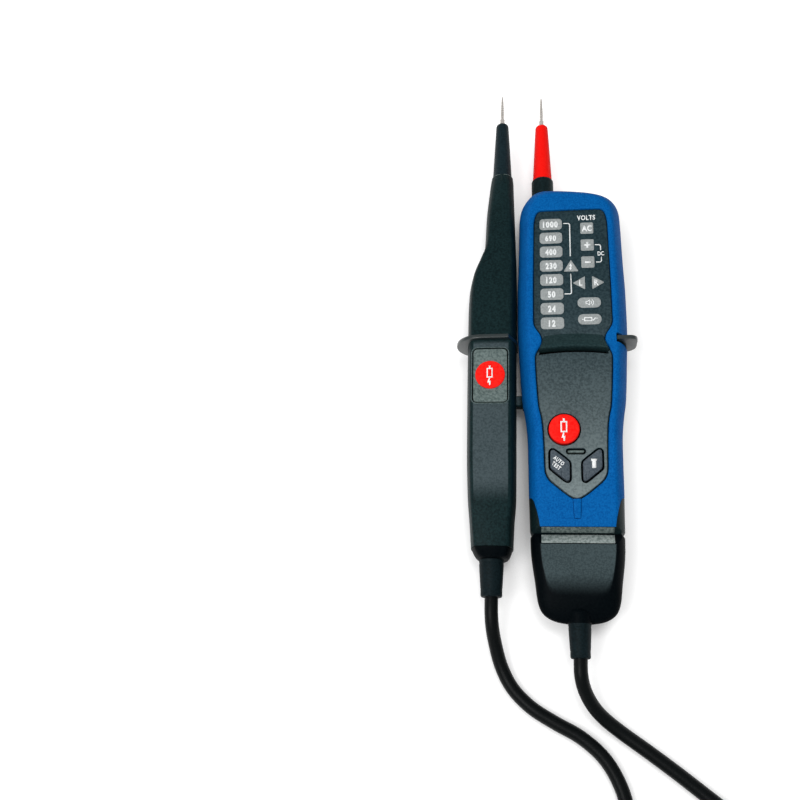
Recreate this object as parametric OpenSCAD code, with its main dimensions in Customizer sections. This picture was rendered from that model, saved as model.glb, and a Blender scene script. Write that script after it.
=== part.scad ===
// Two-pole high voltage tester: a display unit with a fixed needle, and a hand probe docked at its
// left side, joined by one rubber lead. It lies on its back: +Y towards the needles, +Z out of the face.
// The origin is on the display unit's centre line, on its flat back.

/* [Display unit] */
// Length of the end cap on the cord's side
cap_len = 36; // [32:1:40]
// Length of the blue apron between the end cap and the dark panel's point
apron_len = 14.4; // [12:0.2:17]
// Length of the dark panel from its point to the finger ridge, where the buttons are
key_zone_len = 70.6; // [66:0.2:76]
// Length of the housing beyond the panel's top edge
top_margin = 15.2; // [14:0.2:18]
// Rise of the face from the small buttons to the display
display_rise = 4.64; // [4:0.04:5.2]
// Wall of the hard shells
wall = 1.8; // [1.4:0.1:2.2]
// Thickness of the soft blue grip over the front shell
grip_wall = 1.4; // [1.1:0.1:1.7]
// Depth of the V-shaped groove at the end cap's seam
seam_depth = 3.3; // [2.4:0.1:3.8]

/* [Display panel] */
// Width of the dark panel beside the display
panel_w = 34; // [32:0.5:36]
// Depth of the panel below the blue rim
panel_sink = 0.7; // [0.4:0.1:1]
// Height of one voltage window
window_h = 5.6; // [4.6:0.2:6]
// Distance between the voltage windows
window_pitch = 7; // [6.6:0.1:7.4]
// Number of voltage windows
window_count = 8; // [6:1:8]
// Height of the finger ridge above the panel
ridge_h = 2.9; // [2:0.1:3.5]

/* [Buttons] */
// How far the red test button stands above the panel
test_rise = 2.1; // [1:0.1:2.6]
// How far the two small buttons stand above the panel
small_rise = 0.9; // [0.5:0.1:1.4]
// Travel of every button
travel = 0.8; // [0.5:0.05:0.9]

/* [Needles] */
// Diameter of the steel ferrules and of the rods behind them
needle_d = 2.36; // [2:0.05:3]
// Length of each bare needle in front of its ferrule
point_len = 14; // [8:0.2:16]
// Length of each ferrule that shows
ferrule_len = 3.1; // [2:0.1:4]
// Length of the insulating sleeves
sleeve_len = 31; // [24:0.2:34]
// Diameter of the sleeves at the tip
sleeve_tip_d = 6; // [5:0.1:6.6]
// Diameter of the sleeves at the root
sleeve_root_d = 9; // [7.6:0.1:9.4]
// Diameter of the black collar under the red sleeve
collar_d = 10.2; // [9.6:0.1:10.6]
// Length of the collar that stands out of the housing
collar_len = 9.5; // [8:0.1:12]

/* [Hand probe] */
// Width of the probe at its grip
probe_w = 21.8; // [20.6:0.2:22]
// Height of the probe at its grip
probe_h = 24; // [23.5:0.25:27]
// Length of the probe's housing from its seam to the sleeve
probe_len = 177.8; // [172:0.2:190]
// Width of the key pad
pad_w = 14.6; // [12:0.2:15]
// Length of the key pad
pad_len = 24.6; // [20:0.2:28]
// Diameter of the red disc on the key pad
disc_d = 12.8; // [10:0.2:13]

/* [Lead] */
// Diameter of the rubber lead
lead_d = 5.6; // [5:0.1:5.8]
// Length of the display unit's strain relief
relief_len = 13.4; // [10:0.2:18]
// Length of the probe's strain relief
probe_relief_len = 15.2; // [12:0.2:20]

/* [Inside] */
// Diameter of one AAA cell
cell_d = 10.5; // [10:0.1:10.8]
// Length of one AAA cell
cell_len = 44.5; // [42:0.5:45]
// Thickness of the circuit boards
board_t = 1.6; // [1:0.1:1.8]
// Diameter of the housing screws
screw_d = 2.5; // [2:0.1:3]

/* [Hidden] */

// Clearances: between pieces that touch, between pieces that slide, and the overrun of every cut
fit = 0.08;
slip = 0.2;
over = 1;

// Smoothness of round pieces
round_fn = 48;
small_fn = 24;

// Lengths and places along the display unit, from the cord end to the needle end
column_len = (window_count - 1) * window_pitch;
display_len = column_len + 2.3 * window_h;
body_len = cap_len + apron_len + key_zone_len + display_len + top_margin;
body_low_y = -0.49 * body_len;
seam_y = body_low_y + cap_len;
panel_low_y = seam_y + apron_len;
fall_y = panel_low_y + key_zone_len;
panel_top_y = fall_y + display_len;
body_top_y = body_low_y + body_len;

// Widths that follow the panel's
body_w = 1.4176 * panel_w;
window_w = 0.294 * panel_w;
square_w = 0.1676 * panel_w;
test_d = 0.3765 * panel_w;

// Heights, stacked up from the back: battery bay, circuit board, switch, button and the panel over it
core_wall = grip_wall + wall;
plate_t = core_wall - panel_sink;
door_t = 1.8;
bay_wall = 1.2;
part_h = door_t + cell_d + 2 * slip + bay_wall + fit;
board_gap = 1.6;
board_top = part_h + board_gap + board_t;
switch_h = 0.6;
nub_len = 0.38;
flange_t = 0.8;
key_face_h = board_top + switch_h + travel + slip + nub_len + flange_t + slip + plate_t + panel_sink;
display_h = key_face_h + display_rise;
small_y = panel_low_y + 0.3945 * panel_w;
face_fall = display_rise / (fall_y - small_y);
tilt = atan(face_fall);

// Place along the housing, and along the panel, at a share of the way from its cord end to its top
body_places = [[0, body_low_y], [0.182, seam_y], [0.611, fall_y], [1, body_top_y]];
panel_places = [[0, panel_low_y], [0.533, fall_y], [1, panel_top_y]];
function body_y(share) = lookup(share, body_places);
function panel_y(share) = lookup(share, panel_places);

// Half-width and place along the length of the housing's edge at the parting line, then of the flat
// face's edge, as shares of half the width and of the length, from the cord end up one side.
side_shares = [
    [0.190, 0.000, 0.145, 0.052], [0.456, 0.007, 0.315, 0.059], [0.606, 0.020, 0.427, 0.068],
    [0.676, 0.038, 0.506, 0.081], [0.734, 0.086, 0.577, 0.106], [0.788, 0.136, 0.618, 0.141],
    [0.803, 0.182, 0.631, 0.182], [0.813, 0.237, 0.639, 0.237], [0.822, 0.280, 0.643, 0.280],
    [0.826, 0.338, 0.643, 0.338], [0.838, 0.399, 0.651, 0.399], [0.871, 0.439, 0.672, 0.439],
    [0.917, 0.475, 0.705, 0.475], [0.946, 0.520, 0.730, 0.520], [0.967, 0.566, 0.747, 0.566],
    [0.996, 0.631, 0.768, 0.631], [1.000, 0.692, 0.772, 0.692], [0.996, 0.747, 0.768, 0.747],
    [0.979, 0.803, 0.759, 0.803], [0.967, 0.859, 0.751, 0.859], [0.959, 0.904, 0.743, 0.894]];
right_top_shares = [
    [0.942, 0.937, 0.726, 0.914], [0.896, 0.954, 0.697, 0.929], [0.797, 0.969, 0.631, 0.942],
    [0.651, 0.980, 0.523, 0.951], [0.411, 0.989, 0.332, 0.958], [0.145, 0.995, 0.124, 0.961]];
left_top_shares = [
    [0.950, 0.937, 0.730, 0.917], [0.921, 0.955, 0.705, 0.934], [0.842, 0.974, 0.647, 0.949],
    [0.718, 0.992, 0.548, 0.959], [0.581, 1.000, 0.436, 0.964], [0.311, 1.000, 0.249, 0.965]];

// Share of the height and share of the way from the parting edge to the flat face's edge
front_level_shares = [[0, 0], [0.30, 0.08], [0.58, 0.27], [0.82, 0.56], [0.95, 0.80], [1, 1]];
rear_level_shares = [[0, 0], [0.40, 0.08], [0.75, 0.28], [0.93, 0.56], [1, 0.82]];

// Dark panel's edge up one side, as shares of half its width and of its length
panel_shares = [
    [0, 0], [0.235, 0.015], [0.659, 0.057], [0.741, 0.074], [0.765, 0.092], [0.782, 0.156],
    [0.806, 0.228], [0.841, 0.262], [0.900, 0.292], [0.935, 0.352], [0.965, 0.428], [0.971, 0.469],
    [0.794, 0.503], [0.794, 0.529], [1.000, 0.570], [0.994, 0.692], [0.976, 0.820], [0.959, 0.950],
    [0.930, 0.974], [0.880, 0.991], [0.800, 1]];

// Height of the face at a place along the length
function face_at(y) = display_h - max(0, fall_y - y) * face_fall;
function panel_at(y) = face_at(y) - panel_sink;

// One edge of the housing at share k between the parting edge and the face's edge, anticlockwise
function edge_point(row, k, side) = [
    side * body_w / 2 * (row[0] + (row[2] - row[0]) * k),
    body_y(row[1] + (row[3] - row[1]) * k)];
function backwards(list) = [for (i = [len(list) - 1:-1:0]) list[i]];
function housing_edge(k) = concat(
    [for (row = concat(side_shares, right_top_shares)) edge_point(row, k, 1)],
    backwards([for (row = concat(side_shares, left_top_shares)) edge_point(row, k, -1)]));

// Moves a closed anticlockwise edge inwards by a distance, square to itself
function moved_in(edge, d) = [for (i = [0:len(edge) - 1])
    let (n = len(edge), a = edge[(i + n - 1) % n], b = edge[(i + 1) % n], t = (b - a) / norm(b - a))
    edge[i] + d * [-t[1], t[0]]];

// Rings of the front or rear half, moved in by inset and lowered or raised to leave a skin
function front_rings(inset, skin, skirt) = concat(
    skirt > 0 ? [[for (p = moved_in(housing_edge(0), inset)) [p[0], p[1], part_h - skirt]]] : [],
    [for (level = front_level_shares)
        [for (p = moved_in(housing_edge(level[1]), inset))
            [p[0], p[1], part_h + (face_at(p[1]) - skin - part_h) * level[0]]]]);
function rear_rings(inset, skin, skirt) = concat(
    [for (level = backwards(rear_level_shares))
        [for (p = moved_in(housing_edge(level[1]), inset))
            [p[0], p[1], part_h - (part_h - skin) * level[0]]]],
    skirt > 0 ? [[for (p = moved_in(housing_edge(0), inset)) [p[0], p[1], part_h + skirt]]] : []);

// A solid through rings of equal length whose two halves mirror each other: sides in triangles, and
// ends closed in strips across from one side to the other
module skin_through(rings) {
    n = len(rings[0]);
    top = (len(rings) - 1) * n;
    polyhedron(
        points = [for (r = rings) each r],
        faces = concat(
            [for (k = [0:len(rings) - 2], i = [0:n - 1]) each
                let (a = k * n + i, b = k * n + (i + 1) % n, c = b + n, d = a + n)
                [[a, d, c], [a, c, b]]],
            [for (i = [0:n / 2 - 2]) each
                [[i, i + 1, n - 2 - i], [i, n - 2 - i, n - 1 - i]]],
            [for (i = [0:n / 2 - 2]) each
                [[top + i, top + n - 2 - i, top + i + 1],
                    [top + i, top + n - 1 - i, top + n - 2 - i]]]),
        convexity = 6);
}

module front_half(inset = 0, skin = 0, skirt = 0) {
    skin_through(front_rings(inset, skin, skirt));
}

module rear_half(inset = 0, skin = 0, skirt = 0) {
    skin_through(rear_rings(inset, skin, skirt));
}

// Everything of the housing beyond a place along its length
module beyond(y) {
    translate([-body_w, y, -over]) cube([2 * body_w, body_len, display_h * 2]);
}

module short_of(y) {
    translate([-body_w, y - body_len, -over]) cube([2 * body_w, body_len, display_h * 2]);
}

// Axis-aligned box from its two corners
module box(low, high) {
    translate(low) cube(high - low);
}

// Cylinder along +Y
module rod_y(r, y0, y1, x = 0, z = 0, fn = round_fn) {
    translate([x, y0, z]) rotate([-90, 0, 0]) cylinder(r = r, h = y1 - y0, $fn = fn);
}

// A turned piece along +Y, its profile given as radius and distance
module turned_y(profile, x, y, z, fn = round_fn) {
    translate([x, y, z]) rotate([-90, 0, 0]) rotate_extrude($fn = fn) polygon(profile);
}

// Rectangle with round corners, as one polygon
module round_rect(w, h, r, steps = 4) {
    polygon([for (c = [[1, 1, 0], [-1, 1, 90], [-1, -1, 180], [1, -1, 270]], i = [0:steps])
        [c[0] * (w / 2 - r) + r * cos(c[2] + 90 * i / steps),
            c[1] * (h / 2 - r) + r * sin(c[2] + 90 * i / steps)]]);
}

// Sets its children on the dark panel, square to it
module on_panel(x, y) {
    translate([x, y, panel_at(y)]) rotate([tilt, 0, 0]) children();
}

// Dark panel and its parts

module panel_outline(inset = 0) {
    half = [for (s = panel_shares) [s[0] * panel_w / 2, panel_y(s[1])]];
    left = backwards([for (i = [1:len(half) - 1]) [-half[i][0], half[i][1]]]);
    polygon(moved_in(concat(half, left), inset));
}

// Side view of the panel's top, as a polygon of distance and height
panel_profile = [
    [panel_low_y - over, part_h + over], [panel_top_y + over, part_h + over],
    [panel_top_y + over, display_h - panel_sink], [fall_y, display_h - panel_sink],
    [panel_low_y - over, panel_at(panel_low_y - over)]];

// Extrudes a side view across the housing
module across(width) {
    rotate([90, 0, 90]) translate([0, 0, -width / 2]) linear_extrude(width) children();
}

module panel_block() {
    intersection() {
        translate([0, 0, part_h]) linear_extrude(display_h) panel_outline(fit);
        across(body_w) polygon(panel_profile);
    }
}

// Finger ridge between the display and the buttons: its plan, then its side view
ridge_high_y = fall_y;
ridge_low_y = fall_y - 0.222 * panel_w;
ridge_bow = 0.031 * panel_w;
ridge_in_share = 0.77;
ridge_out_share = 0.88;
ridge_steps = 8;

module ridge() {
    top_half = panel_w / 2 * ridge_in_share;
    low_half = panel_w / 2 * ridge_out_share;
    plan = concat(
        [for (i = [0:ridge_steps]) let (u = 2 * i / ridge_steps - 1)
            [u * low_half, ridge_low_y + ridge_bow * (1 - u * u)]],
        [for (i = [0:ridge_steps]) let (u = 1 - 2 * i / ridge_steps)
            [u * top_half, ridge_high_y + ridge_bow * (1 - u * u)]]);
    crest_y = ridge_low_y + ridge_h * 0.5;
    side = [[ridge_low_y - over, part_h + over], [ridge_high_y + ridge_h, part_h + over],
        [ridge_high_y + ridge_h, display_h - panel_sink], [ridge_high_y, display_h - panel_sink],
        [crest_y + ridge_h * 0.9, display_h - panel_sink + ridge_h * 0.86],
        [crest_y, display_h - panel_sink + ridge_h],
        [ridge_low_y - over, display_h - panel_sink + ridge_h]];
    intersection() {
        translate([0, 0, part_h]) linear_extrude(display_h) polygon(plan);
        across(body_w) polygon(side);
    }
}

// Windows of the display: places from the top voltage window and the panel's middle
volt_x = -0.257 * panel_w;
volt_top_y = panel_top_y - 1.278 * window_h;
right_x = 0.213 * panel_w;
square_pitch = 0.1745 * column_len;
square_top_y = volt_top_y - 0.053 * column_len;
square_ys = [for (i = [0:2]) square_top_y - i * square_pitch];
hazard_x = -0.005 * panel_w;
hazard_y = volt_top_y - 0.4286 * column_len;
phase_y = volt_top_y - 0.61 * column_len;
status_ys = [volt_top_y - 0.807 * column_len, volt_top_y - 0.97 * column_len];
triangle_h = 1.14 * square_w;
triangle_depth = 0.93 * square_w;
phase_gap = 0.54 * square_w;
window_round = 1.5;
light_web = 1;
window_proud = 0.12;

// Triangle with its base on the left and its point on the right
module phase_triangle(grow = 0) {
    slant = norm([triangle_h / 2, triangle_depth]);
    e = grow * slant / (triangle_h / 2);
    k = grow * (slant + triangle_depth) / triangle_depth;
    polygon([[-grow, -triangle_h / 2 - k * triangle_h / 2 / triangle_depth * 0.5 - grow],
        [triangle_depth + e, 0],
        [-grow, triangle_h / 2 + k * triangle_h / 2 / triangle_depth * 0.5 + grow]]);
}

module volt_windows(grow = 0) {
    for (i = [0:window_count - 1]) translate([volt_x, volt_top_y - i * window_pitch])
        round_rect(window_w + 2 * grow, window_h + 2 * grow, window_round);
}

module square_windows(grow = 0) {
    for (y = square_ys) translate([right_x, y])
        round_rect(square_w + 2 * grow, square_w + 2 * grow, window_round / 2);
}

module hazard_window(grow = 0) {
    translate([hazard_x, hazard_y]) rotate(90)
        translate([-triangle_h / 2, 0]) phase_triangle(grow);
}

module phase_windows(grow = 0) {
    for (side = [-1, 1]) translate([right_x + side * phase_gap / 2, phase_y])
        rotate(side < 0 ? 180 : 0) phase_triangle(grow);
}

module status_windows(grow = 0) {
    for (y = status_ys) translate([right_x, y])
        round_rect(window_w + 2 * grow, 0.88 * window_h + 2 * grow, window_h * 0.4);
}

// Underside of the plate over the display, and the light guides that hang below it
plate_under = display_h - core_wall;

module lens_group(web_low, web_high) {
    translate([0, 0, plate_under - fit]) linear_extrude(plate_t + fit + window_proud) children();
    box([web_low[0], web_low[1], plate_under - fit - light_web],
        [web_high[0], web_high[1], plate_under - fit]);
}

web_edge = 0.5;

module volt_lenses() {
    low_y = volt_top_y - (window_count - 1) * window_pitch - window_h / 2 - web_edge;
    color("silver") lens_group([volt_x - window_w / 2 - web_edge, low_y],
        [volt_x + window_w / 2 + fit, volt_top_y + window_h / 2 + web_edge]) volt_windows();
}

module polarity_lenses() {
    edge = square_w / 2 + web_edge;
    color("silver") lens_group([right_x - edge, square_ys[2] - edge],
        [right_x + edge, square_ys[0] + edge]) square_windows();
}

module hazard_lens() {
    half = triangle_h / 2 + web_edge / 2;
    color("silver") lens_group([hazard_x - half, hazard_y - half],
        [hazard_x + half, hazard_y + half]) hazard_window();
}

module phase_lenses() {
    half = phase_gap / 2 + triangle_depth;
    color("silver") lens_group([right_x - half, phase_y - triangle_h / 2 - web_edge / 2],
        [right_x + half, phase_y + triangle_h / 2 + web_edge / 2]) phase_windows();
}

module status_lenses() {
    half = window_w / 2 + web_edge / 2;
    color("silver") lens_group([right_x - half, status_ys[1] - window_h / 2],
        [right_x + half, status_ys[0] + window_h / 2]) status_windows();
}

// Buttons on the lower panel: places along the panel, then their holes
test_x = -0.138 * panel_w;
bar_y = small_y + 0.1754 * panel_w;
bar_w = 0.22 * panel_w;
bar_h = 0.062 * panel_w;
button_gap = 0.45;
flange_w = 0.9;
bar_gap = 0.6;
test_y = bar_y + bar_h / 2 + bar_gap + flange_w + button_gap + test_d / 2;

// Right-hand small button's plan, as shares of half the panel's width, from its middle height
small_shares = [[0.141, 0.08], [0.20, 0.14], [0.49, 0.375], [0.56, 0.415], [0.62, 0.39],
    [0.644, 0.33], [0.644, -0.06], [0.62, -0.10], [0.29, -0.375], [0.22, -0.415], [0.16, -0.39],
    [0.141, -0.33]];

module small_plan(side, grow = 0) {
    edge = [for (s = small_shares) [s[0] * panel_w / 2, s[1] * panel_w / 2]];
    mirror([side < 0 ? 1 : 0, 0]) polygon(moved_in(backwards(edge), -grow));
}

// Depth below the panel at which a button's nub stops, so that a full press just clears its switch
function nub_depth(y) = panel_at(y) - board_top - switch_h - travel - slip;

module button_body(plan_depth, nub_to, nub_r) {
    translate([0, 0, -plan_depth]) linear_extrude(plan_depth) children(0);
    translate([0, 0, -plan_depth - flange_t]) linear_extrude(flange_t) children(1);
    translate([0, 0, -nub_to]) cylinder(r = nub_r, h = nub_to - plan_depth, $fn = small_fn);
}

nub_r = 1.8;
flange_drop = plate_t + slip;

module test_button() {
    r = test_d / 2;
    edge_r = test_rise * 0.45;
    cap = concat([[0, 0], [r, 0]],
        [for (a = [0:15:90]) [r - edge_r + edge_r * cos(a), test_rise - edge_r + edge_r * sin(a)]],
        [[0, test_rise + edge_r * 0.2]]);
    color("red") on_panel(test_x, test_y) {
        rotate_extrude($fn = round_fn) polygon(cap);
        translate([0, 0, -flange_drop]) cylinder(r = r, h = flange_drop, $fn = round_fn);
        translate([0, 0, -flange_drop - flange_t])
            cylinder(r = r + flange_w + button_gap, h = flange_t, $fn = round_fn);
        translate([0, 0, -nub_depth(test_y)])
            cylinder(r = nub_r, h = nub_depth(test_y) - flange_drop, $fn = small_fn);
    }
}

// Middle of a small button, where its nub and its switch stand
small_mid_x = 0.39 * panel_w / 2;

module small_button(side) {
    on_panel(0, small_y) {
        translate([0, 0, -flange_drop]) linear_extrude(flange_drop + small_rise * 0.7) small_plan(side);
        translate([0, 0, small_rise * 0.7]) linear_extrude(small_rise * 0.3)
            small_plan(side, -small_rise * 0.4);
        translate([0, 0, -flange_drop - flange_t]) linear_extrude(flange_t)
            small_plan(side, flange_w / 2 + button_gap / 2);
        translate([side * small_mid_x, 0, -nub_depth(small_y)])
            cylinder(r = nub_r, h = nub_depth(small_y) - flange_drop, $fn = small_fn);
    }
}

module auto_button() { color("dimgray") small_button(-1); }

module torch_button() { color("dimgray") small_button(1); }

module indicator_bar() {
    color("black") on_panel(0, bar_y) {
        translate([0, 0, -plate_t - fit]) linear_extrude(plate_t) round_rect(bar_w, bar_h, bar_h * 0.45);
        translate([0, 0, -plate_t - fit - light_web]) linear_extrude(light_web)
            round_rect(bar_w + flange_w, bar_h + flange_w, bar_h * 0.45);
    }
}

// Everything that is cut through the panel
module panel_cuts() {
    translate([0, 0, plate_under - over]) linear_extrude(plate_t + 2 * over) {
        volt_windows(fit);
        square_windows(fit);
        hazard_window(fit);
        phase_windows(fit);
        status_windows(fit);
    }
    on_panel(test_x, test_y) translate([0, 0, -core_wall])
        cylinder(r = test_d / 2 + button_gap, h = core_wall + over, $fn = round_fn);
    on_panel(0, small_y) translate([0, 0, -core_wall]) linear_extrude(core_wall + over) {
        small_plan(-1, button_gap);
        small_plan(1, button_gap);
    }
    on_panel(0, bar_y) translate([0, 0, -core_wall]) linear_extrude(core_wall + over)
        round_rect(bar_w + 2 * fit, bar_h + 2 * fit, bar_h * 0.45);
}

// Housing of the display unit

// The blue grip's region seen from above: its lower end narrows between the black sides
grip_end_y = seam_y + 0.163 * apron_len;
grip_step_y = panel_low_y;
grip_shares = [[1.2, 0], [0.80, 0], [0.735, -0.14], [0.69, -0.45], [0.645, -0.8], [0.615, -1]];

module grip_region() {
    step = grip_step_y - grip_end_y;
    right = [for (s = grip_shares) [s[0] * body_w / 2, grip_step_y + s[1] * step]];
    left = [for (p = backwards(right)) [-p[0], p[1]]];
    translate([0, 0, -over]) linear_extrude(2 * display_h)
        polygon(concat([[body_w, body_len]], right, left, [[-body_w, body_len]]));
}

// Needle end: the axis of the rod and collar
tip_x = -0.249 * body_w;
tip_z = 0.93 * part_h;
tip_seat_y = body_top_y + collar_len;
collar_in_y = body_top_y - core_wall - 0.6 * wall;
collar_flange_r = collar_d / 2 + 0.45 * wall;

module collar_cut() {
    rod_y(collar_d / 2 + fit, collar_in_y, body_len, tip_x, tip_z);
    rod_y(collar_flange_r + fit, collar_in_y - 2 * wall, collar_in_y, tip_x, tip_z);
}

// Torch at the needle end, on the right
torch_x = 0.187 * body_w;
torch_d = 5;
torch_z = board_top + torch_d / 2 + fit;
torch_front_y = body_top_y - 0.196 * top_margin;
torch_back_y = torch_front_y - 2.4 * torch_d;

// Finger guard of the display unit: a flat plate across the right side, level with the display, that
// ends in an ear with a small round above and a large one below
guard_t = 1.9;
guard_y = fall_y - 0.31 * guard_t;
guard_out = 3.5;
guard_edge_r = 2.4;
guard_low_r = 7;
guard_turn_z = 0.66 * display_h;
guard_steps = 6;

// Arc as points, from one angle to another
function arc(centre, r, from, to) = [for (i = [0:guard_steps])
    let (a = from + (to - from) * i / guard_steps) centre + r * [cos(a), sin(a)]];

module guard_plate(grow = 0) {
    right = body_w / 2 + guard_out;
    inner = body_w * side_shares[15][2] / 2;
    translate([0, guard_y + grow, 0]) rotate([90, 0, 0]) linear_extrude(guard_t + 2 * grow) polygon(concat(
        arc([right - guard_low_r, guard_turn_z], guard_low_r + grow, -90, 0),
        arc([right - guard_edge_r, display_h - guard_edge_r], guard_edge_r + grow, 0, 90),
        [[inner - grow, display_h + grow], [inner - grow, guard_turn_z - guard_low_r - grow]]));
}

// Screws of the housing: places seen from above
upper_screw_y = panel_top_y + 0.11 * top_margin;
lower_screw_y = panel_low_y + 0.717 * key_zone_len;
screw_places = [[0.315 * body_w, upper_screw_y], [-0.315 * body_w, upper_screw_y],
    [0.322 * body_w, lower_screw_y], [-0.322 * body_w, lower_screw_y]];
boss_r = 1.15 * screw_d;
head_r = 0.95 * screw_d;
head_t = 0.7 * screw_d;
head_seat_z = 0.55 * part_h;
shell_screw_len = part_h - head_seat_z + 2.4 * screw_d;
board_screw_d = 0.8 * screw_d;
board_screw_places = [[0, panel_top_y], [0, panel_low_y + 0.769 * key_zone_len],
    [0, panel_low_y + 0.045 * key_zone_len]];

// Socket in the left side for the probe's dock peg
peg_w = 5;
peg_low_y = panel_low_y + 0.612 * key_zone_len;
peg_low_z = 0.6 * part_h;
peg_high_z = 0.957 * part_h;
peg_in_x = -0.425 * body_w;

module peg_box(grow) {
    box([-body_w / 2 - 2 * over, peg_low_y - grow, peg_low_z - grow],
        [peg_in_x + grow, peg_low_y + peg_w + grow, peg_high_z + grow]);
}

// V-shaped groove round the seam, cut into both pieces: across the face and into each side
module seam_groove() {
    face = face_at(seam_y);
    bottom = face - seam_depth;
    across(body_w * 2) polygon([[seam_y, bottom], [seam_y + seam_depth * 0.75, face + fit],
        [seam_y + seam_depth * 0.75, face + over], [seam_y - seam_depth * 1.6, face + over],
        [seam_y - seam_depth * 1.6, face_at(seam_y - seam_depth * 1.6) + fit]]);
    notch = seam_depth * 0.3;
    edge = body_w / 2 * side_shares[6][0];
    for (side = [-1, 1]) translate([0, 0, -over]) linear_extrude(display_h)
        polygon([[side * (edge - notch), seam_y], [side * (edge + over), seam_y + notch + over],
            [side * (edge + over), seam_y - notch - over]]);
}

module front_shell() {
    color("#1c1f20") difference() {
        union() {
            intersection() {
                difference() {
                    union() {
                        front_half(grip_wall, grip_wall);
                        difference() {
                            front_half();
                            grip_region();
                        }
                    }
                    front_half(core_wall, core_wall, over);
                }
                beyond(seam_y + fit);
            }
            difference() {
                panel_block();
                front_half(core_wall, core_wall, over);
            }
            difference() {
                ridge();
                front_half(core_wall, core_wall, over);
            }
            intersection() {
                guard_plate();
                difference() {
                    translate([-body_w, 0, part_h]) cube([2 * body_w, body_len, display_h]);
                    front_half(core_wall, core_wall, over);
                }
            }
            intersection() {
                union() {
                    for (p = screw_places) translate([p[0], p[1], part_h + fit])
                        cylinder(r = boss_r, h = display_h, $fn = small_fn);
                    for (p = board_screw_places) translate([p[0], p[1], board_top + fit])
                        cylinder(r = boss_r, h = display_h, $fn = small_fn);
                }
                front_half(grip_wall + fit, grip_wall + fit);
            }
        }
        panel_cuts();
        for (p = screw_places) translate([p[0], p[1], part_h - over])
            cylinder(r = screw_d / 2 + fit, h = over + 2.4 * screw_d + fit, $fn = small_fn);
        for (p = board_screw_places) translate([p[0], p[1], board_top - over])
            cylinder(r = board_screw_d / 2 + fit, h = over + 1.4 * board_screw_d + fit, $fn = small_fn);
        collar_cut();
        rod_y(torch_d / 2 + fit, torch_back_y - fit, body_len, torch_x, torch_z, small_fn);
        seam_groove();
    }
}

// Raised key on the blue face, below the panel's point
key_w = 0.068 * body_w;
key_high_y = panel_low_y - 0.055 * apron_len;
key_low_y = panel_low_y - 0.609 * apron_len;
key_rise = 0.45;

module front_grip() {
    color("#1464b4") difference() {
        union() {
            intersection() {
                front_half();
                grip_region();
            }
            intersection() {
                translate([0, 0, part_h]) linear_extrude(display_h) polygon([
                    [-key_w / 2, key_high_y], [key_w / 2, key_high_y],
                    [key_w * 0.38, key_low_y], [-key_w * 0.38, key_low_y]]);
                across(body_w) polygon([[key_low_y - over, part_h], [key_high_y + over, part_h],
                    [key_high_y + over, face_at(key_high_y + over) + key_rise],
                    [key_low_y - over, face_at(key_low_y - over) + key_rise]]);
            }
        }
        front_half(grip_wall - fit, grip_wall - fit, over);
        translate([0, 0, part_h]) linear_extrude(display_h) panel_outline();
        guard_plate(fit);
        rod_y(collar_d / 2 + fit, collar_in_y, body_len, tip_x, tip_z);
        rod_y(torch_d / 2 + fit, torch_back_y - fit, body_len, torch_x, torch_z, small_fn);
    }
}

// Battery bay in the rear shell
contact_t = 0.5;
bay_half_w = cell_d + 2 * slip;
bay_len = cell_len + 4 * contact_t + 2 * slip;
door_low_y = seam_y + 1.2 * wall;
door_screw_y = door_low_y + 1.02 * screw_d;
bay_low_y = door_screw_y + 1.5 * screw_d;
door_high_y = bay_low_y + bay_len + 1.6 * bay_wall;
door_half_w = bay_half_w + bay_wall * 0.7;
roof_z = part_h - fit;
cell_z = door_t + slip + cell_d / 2;

module rear_shell() {
    color("#1c1f20") difference() {
        union() {
            intersection() {
                difference() {
                    rear_half();
                    rear_half(wall, wall, over);
                }
                beyond(seam_y + fit);
            }
            intersection() {
                rear_half(fit, 0);
                union() {
                    for (p = screw_places) translate([p[0], p[1], 0])
                        cylinder(r = head_r + bay_wall, h = part_h, $fn = small_fn);
                    box([-bay_half_w - bay_wall, bay_low_y - bay_wall, 0],
                        [bay_half_w + bay_wall, bay_low_y + bay_len + bay_wall, part_h]);
                    translate([0, door_screw_y, 0]) cylinder(r = boss_r, h = part_h * 0.75, $fn = small_fn);
                }
            }
            intersection() {
                guard_plate();
                difference() {
                    box([-body_w, 0, 0], [body_w, body_len, part_h]);
                    rear_half(wall, wall, over);
                }
            }
        }
        box([-bay_half_w, bay_low_y, -over], [bay_half_w, bay_low_y + bay_len, roof_z - bay_wall]);
        box([-door_half_w - fit, door_low_y - fit, -over],
            [door_half_w + fit, door_high_y + fit, door_t + fit]);
        for (p = screw_places) translate([p[0], p[1], -over]) {
            cylinder(r = screw_d / 2 + fit, h = part_h + 2 * over, $fn = small_fn);
            cylinder(r = head_r + slip, h = head_seat_z + over, $fn = small_fn);
        }
        translate([0, door_screw_y, 0])
            cylinder(r = screw_d / 2 + fit, h = part_h * 0.6, $fn = small_fn);
        collar_cut();
        peg_box(slip);
        seam_groove();
    }
}

// The end cap is one hollow piece with a round socket for the strain relief in its end
relief_root_r = 0.83 * lead_d;
relief_neck_r = 0.66 * lead_d;
relief_flange_r = 0.725 * lead_d;
relief_socket_r = 0.875 * lead_d;
cap_in_y = body_low_y + 1.5 * wall;
socket_end_y = body_low_y + 0.235 * cap_len;

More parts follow.
